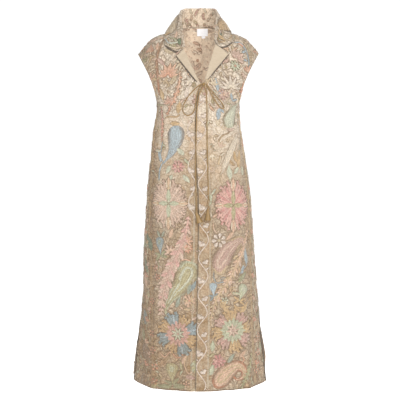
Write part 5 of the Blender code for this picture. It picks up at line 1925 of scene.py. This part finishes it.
def front_right_work():
    work = Work(CLOTH["front_right"][0], "embroidery_front_right")

    def at(column, row):
        return spot(work, column, row)

    def along(text):
        return spots(work, places_of(text))

    bands(work, -1, -0.20)
    painted_shadow_lines(work, -1)
    cross_medallion(work, at(168.5, 200.5), 19.5 * GRID, 26 * GRID, "old_rose", "sage", "tan")
    wheel_flower(work, at(177.5, 331.5), 22 * GRID, ("slate", "mustard"), "pink", "drop", "mint", 0.35)
    paisley(work, along("174.5 123.5 175.5 134 172.5 147 168 155 163 161"), 8.8 * GRID, "blue", "blue",
            "blue", 1)
    paisley(work, along("191 258 187 270 180 283 171 295 165.5 306 166.5 314"), 12.0 * GRID, "olive", "sage",
            "mint", 3)
    carnation(work, at(177.8, 164), 7.0 * GRID, "pink", "rose", "peach")
    carnation(work, at(189, 298), 6.8 * GRID, "peach", "tan", "coral", 0.3)
    carnation(work, at(187.5, 245.5), 5.0 * GRID, "coral", "peach", "tan", 0.6)
    lobed_band(work, along("188.5 213 185 231 178 250 168 272 162 296 160.5 312"), 0.0080, ROSE, 26, 0.034)
    lobed_band(work, along("179.5 70 179 82 174 98 167 113"), 0.0046, ("peach", "blush", "coral"), 12, 0.016)
    lobed_band(work, along("161 104 162.5 118 162 139"), 0.0030, ("pink", "coral"), 9, 0.011)
    bud(work, at(160.5, 252), radians(92), 18 * GRID, 5.0 * GRID, "slate", "grey_green", "leaf")
    bud(work, at(172, 382), radians(90), 20 * GRID, 7.5 * GRID, "olive", "sage", "leaf")
    strokes(work, """
        0.0058 umber rust 164.5 38 159 49 156.5 62 158 76 159.5 94
        0.0022 blue slate 163.5 161 160.5 152 163 138; 0.0034 blue slate 162.5 160 159.5 168 159 178
        0.002 ochre mustard 165 116 170 114.5 176 115 180 112
        0.0016 mustard ochre 163 100 166.5 98.5 170 100; 0.002 cream white 162 62 159.5 69 163 77
        0.0026 peach coral 180 258 185 256.5 191 258.5; 0.0018 olive leaf 176 262 182 266 189 262 193 254
        0.0028 peach coral 158 349 164 355 170 350 177 356 184 351
        0.0024 umber brown 136 372 140 362 146 366 145 376 139 380
        0.0024 umber brown 141 386 149 380 155 385; 0.0022 brown tan 156 198 159.5 203 154.5 206 152 200
        0.003 tan peach 188 352 184 362 188 372 193 368""")
    sprays(work, """
        168 75 80 150 7 15 2.6 coral peach; 149 52 60 110 5 9 2 peach coral
        151 80 100 90 4 13 2 coral peach; 169 102 100 120 5 10 2 coral blush
        183 60 200 130 5 11 1.8 tan cream; 190 82 110 130 5 8 1.6 cream white
        145 62 90 100 4 9 1.8 leaf olive; 186 238 20 100 4 9 1.6 coral peach
        170 249 120 140 5 9 1.5 peach blush""")
    leaves(work, """
        160.4 160 84 13 0.13 blue slate; 183.5 153 115 10 0.28 mint sage; 170.5 163 220 9 0.28 mint sage
        183 172 290 10 0.26 mint sage; 172 172 250 9 0.26 mint sage; 163 99 80 13 0.2 ochre cream
        178 112 95 14 0.22 ochre mustard; 170 121.5 12 10 0.25 ochre mustard
        168.5 235 48 10 0.24 peach cream; 161 234 40 7 0.22 grey_green leaf
        160 234 130 7 0.22 grey_green leaf; 187 292 58 13 0.2 grey_green slate
        175 305 48 12 0.2 grey_green slate; 190 289 75 12 0.22 slate grey_green
        172 386 20 15 0.18 leaf sage; 171 386 160 15 0.18 leaf sage; 181 362 40 10 0.26 peach cream
        185 374 -35 10 0.26 mauve blush; 151 248 95 18 0.26 green slate; 147 270 88 15 0.24 green leaf
        146.5 285 88 15 0.26 peach blush; 146 300 85 14 0.24 olive tan
        145 322 82 15 0.28 slate grey_green; 147 360 88 19 0.3 umber mauve; 143 338 78 12 0.24 leaf sage
        141 384 60 13 0.26 umber leaf; 149 389 20 11 0.24 olive leaf; 150 228 92 14 0.2 umber coral
        157 50 60 9 0.26 peach coral; 173 52 130 11 0.24 sand cream; 186 96 100 9 0.22 white cream
        165 214 250 8 0.2 tan cream""")
    stars(work, """
        155.5 265 3.2 5 coral peach; 157 274 3.4 5 coral peach; 152 298 3.4 5 coral tan
        151.5 331 3.8 4 coral peach; 152 348 3.8 4 coral peach; 154 365 3.8 4 coral cream
        153.5 380 3.8 4 rust peach; 186 383 3.6 5 peach coral""")
    curls(work, """
        182 90 0.4 2.6 tan; 164.5 70 2 2.8 sage; 176 243 2.4 4.2 peach; 172 249 5.2 3.4 coral
        163 358 1.5 3.2 peach; 158 367 3.2 3.2 umber; 161 377 0.2 3.2 leaf; 186 383 2.2 3.2 tan
        139 352 0.6 3.4 umber""")
    fill_front(work, 260, 5)


def front_left_work():
    work = Work(CLOTH["front_left"][0], "embroidery_front_left")

    def at(column, row):
        return spot(work, column, row)

    def along(text):
        return spots(work, places_of(text))

    bands(work, 1, -0.20)
    painted_shadow_lines(work, 1)
    cross_medallion(work, at(232.5, 202.5), 19 * GRID, 27 * GRID, "pink", "olive", "peach")
    wheel_flower(work, at(232.5, 328), 22.5 * GRID, ("mustard", "mauve"), "sage", "leaf", "blush", 0.15)
    carnation(work, at(218.3, 359.6), 7.4 * GRID, "rose", "pink", "rose")
    carnation(work, at(222.9, 93.2), 6.6 * GRID, "mauve", "blush", "peach", 0.4)
    carnation(work, at(234.3, 65), 6.0 * GRID, "sage", "mint", "coral", 0.2)
    star_flower(work, at(218.5, 237.5), 7.4 * GRID, "white", "sand", 7, 0.5)
    paisley(work, along("219 272 220.5 260 226 249 234 241 241 237 243 243 239 250 233 256"), 10.4 * GRID,
            "mauve", "tan", "blush", 3)
    paisley(work, along("228.5 126 229 117 232.5 108 238 100"), 8.0 * GRID, "mint", "sage", "sage", 1)
    paisley(work, along("214 386 221 377 229 369 237 364.5 243.5 368 243 375 237 378 232 374"), 9.4 * GRID,
            "peach", "rust", "tan", 3)
    bud(work, at(239, 298), radians(66), 17 * GRID, 6.4 * GRID, "sage", "mint", "ochre")
    bud(work, at(213.5, 294), radians(92), 14 * GRID, 4.4 * GRID, "blue", "blue", "slate")
    feather(work, along("236 131 232 144 226 158 220 172"), 4.2 * GRID, "cream", "white")
    lobed_band(work, along("246.5 226 243.5 242 238 258 229 276 218 293 212 308 210.5 319"), 0.0075,
               ("peach", "blush", "tan"), 28, 0.022)
    lobed_band(work, along("251 350 250 362 246 376 241 388"), 0.0052, ("olive", "leaf"), 10, 0.016)
    strokes(work, """
        0.0042 blue slate 232.5 42 239 43 244 49 247 58 247 66
        0.0022 coral rust 242.5 80 240.5 89 238.5 99; 0.0018 tan brown 217 141 221 134 227 131 231 127
        0.0022 tan sand 222 165 220 172 219 180; 0.0022 peach blush 213 220 213.5 226 216 230
        0.0018 slate blue 238 273 242 267 246 262
        0.0018 slate blue 213.5 268 213.5 275 216 280 221 279.5 226 277
        0.0024 ochre mustard 234 303 240 305 247 300 250 294; 0.0024 peach coral 239 352 244 357 241 362
        0.002 coral peach 244 146 246 158 247 170; 0.0024 umber brown 262 318 263 334 262 350""")
    sprays(work, """
        236 58 60 140 6 11 2.2 mauve blush; 230 87 95 150 7 16 1.9 cream white
        247 72 80 110 5 10 1.8 peach coral; 212 66 100 120 5 9 1.6 tan cream
        224 62 120 110 4 9 1.8 mauve old_rose; 243 92 100 90 4 9 1.5 coral rust
        222 306 40 120 4 10 1.8 ochre tan; 213 84 90 100 4 8 1.5 sand cream""")
    leaves(work, """
        217 90 82 12 0.18 blue slate; 217.5 93 20 7 0.26 blue slate; 217 118 66 12 0.22 blue slate
        218.5 106 -60 7 0.24 blue slate; 231 99 84 8 0.22 blue slate; 231 99 -5 7 0.2 blue slate
        240.5 52 20 6 0.24 blue slate; 246 60 200 6 0.24 blue slate; 238 166 96 19 0.16 ochre mustard
        236 160 120 13 0.16 ochre mustard; 234 163 150 9 0.2 mustard ochre; 229 177 75 14 0.22 mint sage
        233 171 30 9 0.24 mint sage; 242 173 110 10 0.22 mint sage; 225 237 24 14 0.16 peach blush
        245.5 262 76 16 0.18 blue slate; 241 271 55 9 0.2 blue slate; 238 280 62 14 0.2 leaf mint
        240 311 62 14 0.2 ochre tan; 239 309 110 9 0.22 mustard ochre; 226 303 150 9 0.2 ochre tan
        227 361 32 11 0.22 grey_green mint; 212 350 100 11 0.24 sage mint; 209 374 52 12 0.22 sage mint
        239 356 28 10 0.2 peach coral; 226 128 20 10 0.2 blush sand; 257 172 85 13 0.2 sage mint
        259 196 85 13 0.2 grey_green sage; 261 228 85 14 0.2 rose blush; 261 262 88 14 0.2 tan cream
        259 300 95 14 0.2 leaf sage; 261 330 95 14 0.22 tan cream; 260 352 100 13 0.22 sage leaf
        258 378 100 13 0.22 umber coral; 243 47 140 8 0.22 coral peach; 252 51 60 8 0.22 coral peach""")
    stars(work, """
        254 134 3.2 5 coral peach; 256 152 3.2 5 coral peach; 224.5 298 3.6 6 mint sage
        257.5 334 3.6 4 coral peach; 257.5 350 3.6 4 coral tan; 256 368 3.6 4 coral peach""")
    curls(work, """
        220 124 3 3.4 tan; 226 277 0.2 3.4 slate; 235 285 1 3.6 ochre; 214 262 2 3 mauve
        224 350 1.2 3 peach; 209 340 2.2 3.2 tan""")
    fill_front(work, 300, 6)


def back_work(side, name, seed):
    """The back carries the same kinds of motif in its own order."""
    work = Work(CLOTH[name][0], "embroidery_" + name)
    edge_at, side_at = work.cloth.edge_at, work.cloth.side_at

    def at(s, t):
        return np.array((side * s, t))

    def along(text):
        return [at(*place) for place in places_of(text)]

    def outer(t):
        return side_at(t) - side * 0.020

    for t in np.arange(HEM_Z + 0.01, -0.05, 0.013):
        work.keep((edge_at(t), t), 0.006)
    vine(work, lambda t: edge_at(t) + side * 0.026, 0.02, HEM_Z + 0.006, 0.140, side * 0.012, "white",
         BAND_BLOOMS, 0.0021, 0.0160)
    double_line(work, lambda t: edge_at(t) + side * 0.049, -0.02, HEM_Z + 0.006, "cream")
    vine(work, outer, -0.31, HEM_Z + 0.006, 0.090, 0.008, "mint", SIDE_BLOOMS, 0.0014, 0.0150)
    double_line(work, lambda t: side_at(t) - side * 0.040, -0.30, HEM_Z + 0.006, "tan", 0.0046)
    for t in np.arange(HEM_Z + 0.01, 0.0, 0.014):
        work.keep((edge_at(t) + side * 0.026, t), 0.018)
        if t < -0.30:
            work.keep((outer(t), t), 0.014)
    if side < 0:
        cross_medallion(work, at(0.116, -0.36), 0.066, 0.098, "pink", "sage", "peach")
        wheel_flower(work, at(0.124, -0.86), 0.084, ("ochre", "blue"), "blush", "drop", "mint", 0.2)
        big = ("0.15 -0.545 0.135 -0.59 0.105 -0.64 0.085 -0.69", "blue", "slate")
        low = ("0.095 -1.15 0.115 -1.11 0.15 -1.07 0.19 -1.06", "mauve", "blush")
    else:
        wheel_flower(work, at(0.115, -0.32), 0.074, ("blush", "mustard"), "pink", "leaf", "sage", 0.2)
        cross_medallion(work, at(0.128, -0.90), 0.068, 0.100, "old_rose", "olive", "tan")
        big = ("0.1 -0.52 0.115 -0.57 0.145 -0.62 0.165 -0.67", "olive", "mint")
        low = ("0.18 -1.17 0.16 -1.12 0.12 -1.09 0.09 -1.07", "peach", "cream")
    for places, thread, inner in (big, low):
        paisley(work, along(places), 0.040, thread, "sand", inner, 3)
    lobed_band(work, along("0.19 -0.42 0.17 -0.5 0.1 -0.6 0.075 -0.72"), 0.0070, ROSE, 20, 0.028)
    lobed_band(work, along("0.2 -0.95 0.19 -1.05 0.12 -1.2 0.09 -1.34"), 0.0070, ("peach", "blush", "coral"),
               24, 0.026)
    bud(work, at(0.165, -0.78), radians(90), 0.066, 0.021, "slate", "grey_green", "leaf")
    bud(work, at(0.100, -1.05), radians(90 + side * 30), 0.060, 0.020, "sage", "mint", "ochre")
    carnation(work, at(0.088, -0.495), 0.028, "rose", "pink", "peach")
    carnation(work, at(0.165, -1.26), 0.031, "pink", "rose", "cream")
    carnation(work, at(0.150, -0.16), 0.030, "coral", "peach", "cream")
    carnation(work, at(0.090, -0.10), 0.026, "blush", "mauve", "sage")
    for s, t, lean, size, thread in rows_of("""
            0.17 -0.70 80 0.05 green; 0.07 -0.22 100 0.045 blue; 0.17 -0.24 60 0.05 sage
            0.18 -1.20 90 0.05 slate; 0.13 -1.35 40 0.05 leaf; 0.07 -0.98 70 0.05 mustard"""):
        leaf(work, at(s, t), radians(lean if side > 0 else 180 - lean), size, 0.22 * size, thread, "cream")
    broad_scrolls(work, 1500, seed + 30, 0.054, TONAL + ["peach", "mauve"], HEM_Z, 0.1)
    scatter(work, 3000, seed, 0.026, 0.52)
    work.finish()


def mixed_leaves(work, places, cut_share):
    """Deep-cut and curled leaves at chance places."""
    for at, reach, angle, pick, first, second in places:
        (open_leaf if pick < cut_share else curled_leaf)(work, at, angle, reach, first, second)


LEAF_TOP = -0.075        # the collar's flat place where the leaf turns into the stand


def collar_spot(work, column, row):
    """Flat place on the collar's leaf at the layout's column and row."""
    points = work.cloth.points
    reach = (points[..., 1] - VIEW_FROM[1]) * GRID_ANGLE
    gap = (points[..., 0] / reach + GRID_COLUMN - column) ** 2
    gap = gap + ((VIEW_FROM[2] - points[..., 2]) / reach + GRID_ROW - row) ** 2
    gap = gap + 1e4 * (work.cloth.across < LEAF_TOP)
    i, j = np.unravel_index(np.argmin(gap), gap.shape)
    return np.array((work.cloth.across[i, j], work.cloth.along[i]))


def collar_ends(work):
    """The scrolls and leaves that show on the two front ends of the collar."""
    def along(places):
        return [collar_spot(work, *place) for place in places]

    for half, thread, tip, *places in rows_of("""
            0.0042 blue mint 165.5 39 168.5 42.5 173 43 178 41.5
            0.0038 cream sand 164.5 43.5 170 46.5 176 48 182 46
            0.0024 sage leaf 169 36 172 38.5 176 38; 0.0028 tan brown 173 33 176 27 180 24
            0.0026 ochre tan 214 29 218 33 222 39; 0.0022 brown tan 214 40 219 42 224 41
            0.0026 olive sand 217 28 222 34 226 40"""):
        line = through(along(np.reshape(places, (-1, 2))))
        work.outline(line, half, 5, "brown", 0.0014)
        work.strip(line, half, 0.0012, thread, 6, tip)
    for share, thread, vein, *places in rows_of("""
            0.30 green leaf 178 38.5 184 42.5; 0.34 mustard olive 170 31 165 36.5
            0.26 ochre olive 218 35 224 38.5; 0.26 mustard olive 219 30 222 24
            0.26 sand cream 172 33 176 29"""):
        root, end = along(np.reshape(places, (-1, 2)))
        way = end - root
        leaf(work, root, atan2(way[1], way[0]), hypot(*way), share * hypot(*way), thread, vein, 0.2, 7)


def collar_work():
    """The collar's rim lines, its front ends, a row of flowers and leaves, and soft leaves between."""
    work = Work(CLOTH["collar"][0], "embroidery_collar")
    end = work.cloth.along[-1]
    rim = np.arange(0.004, end - 0.004, STITCH_STEP)
    for in_from_edge, half, thread in ((0.0030, 0.0012, "brown"), (0.0070, 0.0010, "sand")):
        work.strip(np.stack([np.full(len(rim), -in_from_edge), rim], -1), half, 0.0009, thread, 1)
    collar_ends(work)
    chance = np.random.default_rng(14)
    threads = ("olive", "peach", "blue", "ochre", "mauve", "sage", "tan", "green", "blush", "mustard")
    t, k = 0.022, 0
    while t < end - 0.02:
        depth = -0.036 - 0.010 * (k % 2)
        lean = chance.uniform(-0.5, 0.5) + (pi / 2 if k % 2 else -pi / 2)
        place, thread = np.array((depth, t)), threads[k % len(threads)]
        free = work.is_free(place, 0.010)
        if free and k % 4 == 0:
            carnation(work, place, 0.017, thread, SECOND_SHADE.get(thread, "tan"), "cream", 0.3 * k)
        elif free and k % 4 == 2:
            open_leaf(work, place, lean, 0.040, thread, threads[(k + 3) % len(threads)])
        elif free:
            leaf(work, place, lean, 0.036, 0.0085, thread, "cream", 0.3)
            other = threads[(k + 4) % len(threads)]
            leaf(work, place + (0.010, 0.004), lean + 2.2, 0.026, 0.0060, other, "sand", 0.3)
        t += 0.030
        k += 1
    broad = ("ochre", "cream", "sand", "mustard", "cream", "sand")
    work.edge = "umber"
    places = try_places(work, 700, 19, 0.036, broad, 0.0, end, 0.46)
    mixed_leaves(work, (place for place in places if place[0][0] > LEAF_TOP), 0.5)
    work.edge = "tan"
    inner = ("blush", "old_rose", "cream", "sand", "pink")
    mixed_leaves(work, try_places(work, 900, 20, 0.030, inner, 0.0, end, 0.5), 0.5)
    work.edge = "shade"
    work.finish()


INSIDE_LOW, INSIDE_REACH = -0.24, 0.13    # as far down and out as shows through the neck


def inside_work(name, side, seed):
    """What shows of the back's inside through the neck: broad soft leaves and round marks, tone on tone, in
    threads made paler than outside as painted light against the shade there.
    """
    work = Work(CLOTH[name][1], "embroidery_inside_" + name)
    chance = np.random.default_rng(seed)
    work.edge = "inner_deep"
    rounds = ((0.032, -0.010, 0.022), (0.064, -0.062, 0.021), (0.026, -0.096, 0.021), (0.080, -0.015, 0.018),
              (0.054, -0.140, 0.018), (0.022, -0.045, 0.014), (0.026, -0.185, 0.017), (0.092, -0.105, 0.016))
    for k, (s, t, radius) in enumerate(rounds):
        place = np.array((side * s, t))
        for n in range(9):
            lean, reach = chance.uniform(0, 2 * pi), radius * chance.uniform(0.10, 0.95)
            work.petal(ahead(place, lean, reach), lean + chance.uniform(-0.6, 0.6), 0.0, 0.012, 0.0018,
                       ("inner_rose", "inner_deep", "inner_pale")[(n + k) % 3], "leaf", 0.0004, 1, edge=None)
        work.keep(place, 0.8 * radius)
    palette = ("inner_rose", "inner_pale", "inner_rose", "inner_pale", "inner_deep")
    places = try_places(work, 500, seed, 0.034, palette, INSIDE_LOW, 0.04, 0.4)
    mixed_leaves(work, (place for place in places if abs(place[0][0]) < INSIDE_REACH), 0.6)
    if side < 0:
        star_flower(work, np.array((-0.006, -0.100)), 0.006, "coral", "peach", 5)
    work.finish()


def seam_tape():
    """The centre back seam's turned-in edges, pressed flat over it inside."""
    right, left = CLOTH["back_right"][1], CLOTH["back_left"][1]
    rows = np.arange(2, right.points.shape[0] - 2, 3)
    grid = np.stack([cloth.points[rows, column] + cloth.normals[rows, column] * 0.0006
                     for cloth, column in ((right, 1), (right, 0), (left, 0), (left, 1))], 1)
    t = HEM_Z + run_of(grid[:, 1])
    flat = np.stack(np.broadcast_arrays(np.array((-0.005, -0.001, 0.001, 0.005))[None, :], t[:, None]), -1)
    ones = np.ones(grid.shape[:2])
    other = grid - np.stack([cloth.normals[rows, 0] for cloth in (right, right, left, left)], 1) * 0.0004
    # the tape takes the full pale inside mix, partly painted light like the inside it lies on
    shell("seam_tape_back", grid, other, flat, ones, LINEN, (), ones, (ones, ones))


seam_tape()
front_right_work()
front_left_work()
back_work(-1, "back_right", 21)
back_work(1, "back_left", 22)
collar_work()
inside_work("back_right", -1, 3)
inside_work("back_left", 1, 4)


# ---- floor and light
FLOOR_Z = -2.0
FLOOR_SPAN = 18.0
AMBIENT = 0.47           # the background's strength as light
WORLD_SEEN = 1.1         # the background's strength where it is seen directly
FLOOR_GLOW = 0.75
PAPER = ((0.93, 0.93, 0.93, 1.0), (0.96, 0.96, 0.96, 1.0))
WHITE = (1.0, 1.0, 1.0, 1.0)
LIGHTS = {               # place, what it faces, size and power
    "key": ((1.5, -3.2, 1.1), (0, 0, -0.6), (1.3, 1.8), 76.0),
    "front": ((-0.4, -4.2, 0.1), (0, 0, -0.5), (1.4, 1.4), 44.0),
    "fill": ((-2.2, -2.4, 0.4), (0, 0, -0.7), (2.0, 2.4), 12.0),
    "top": ((0.0, 0.2, 2.4), (0, 0, -0.4), (2.4, 2.0), 20.0),
    "rear": ((1.2, 3.4, 0.8), (0, 0, -0.6), (2.0, 2.0), 84.0),
    "neck": ((0.026, -0.075, -0.200), (0.028, 0.10, -0.175), (0.05, 0.10), 0.095),
}


def stage():
    bpy.ops.mesh.primitive_plane_add(size=FLOOR_SPAN, location=(0, 0, 0))
    floor = bpy.context.object
    floor.name = "floor"
    for vertex in floor.data.vertices:
        vertex.co.z = FLOOR_Z
    material, graph = new_material("floor_paper", 0.9)
    noise = graph.noise(graph.node("TexCoord")["Object"], 3.0)["Fac"]
    graph.feed(graph.shader, {"Base Color": graph.mix(noise, *PAPER), "Emission Color": WHITE,
                              "Emission Strength": FLOOR_GLOW})
    floor.data.materials.append(material)


def area_light(name, place, aim, size, power):
    data = bpy.data.lights.new(name, "AREA")
    data.shape = "RECTANGLE"
    data.size, data.size_y = size
    data.energy = power
    item = add_object(name, data)
    item.location = place
    item.rotation_euler = (Vector(aim) - Vector(place)).to_track_quat("-Z", "Y").to_euler()
    item.visible_camera = False


def lighting():
    world = bpy.data.worlds.new("studio")
    bpy.context.scene.world = world
    world.use_nodes = True
    graph = Graph(world.node_tree, world.node_tree.nodes["Background"])
    seen = graph.node("LightPath")["Is Camera Ray"]
    graph.feed(graph.shader, {"Color": WHITE, "Strength": graph.plus(seen, WORLD_SEEN - AMBIENT, AMBIENT)})
    for name, how in LIGHTS.items():
        area_light(name, *how)


stage()
lighting()
bpy.context.scene.view_settings.view_transform = "Standard"
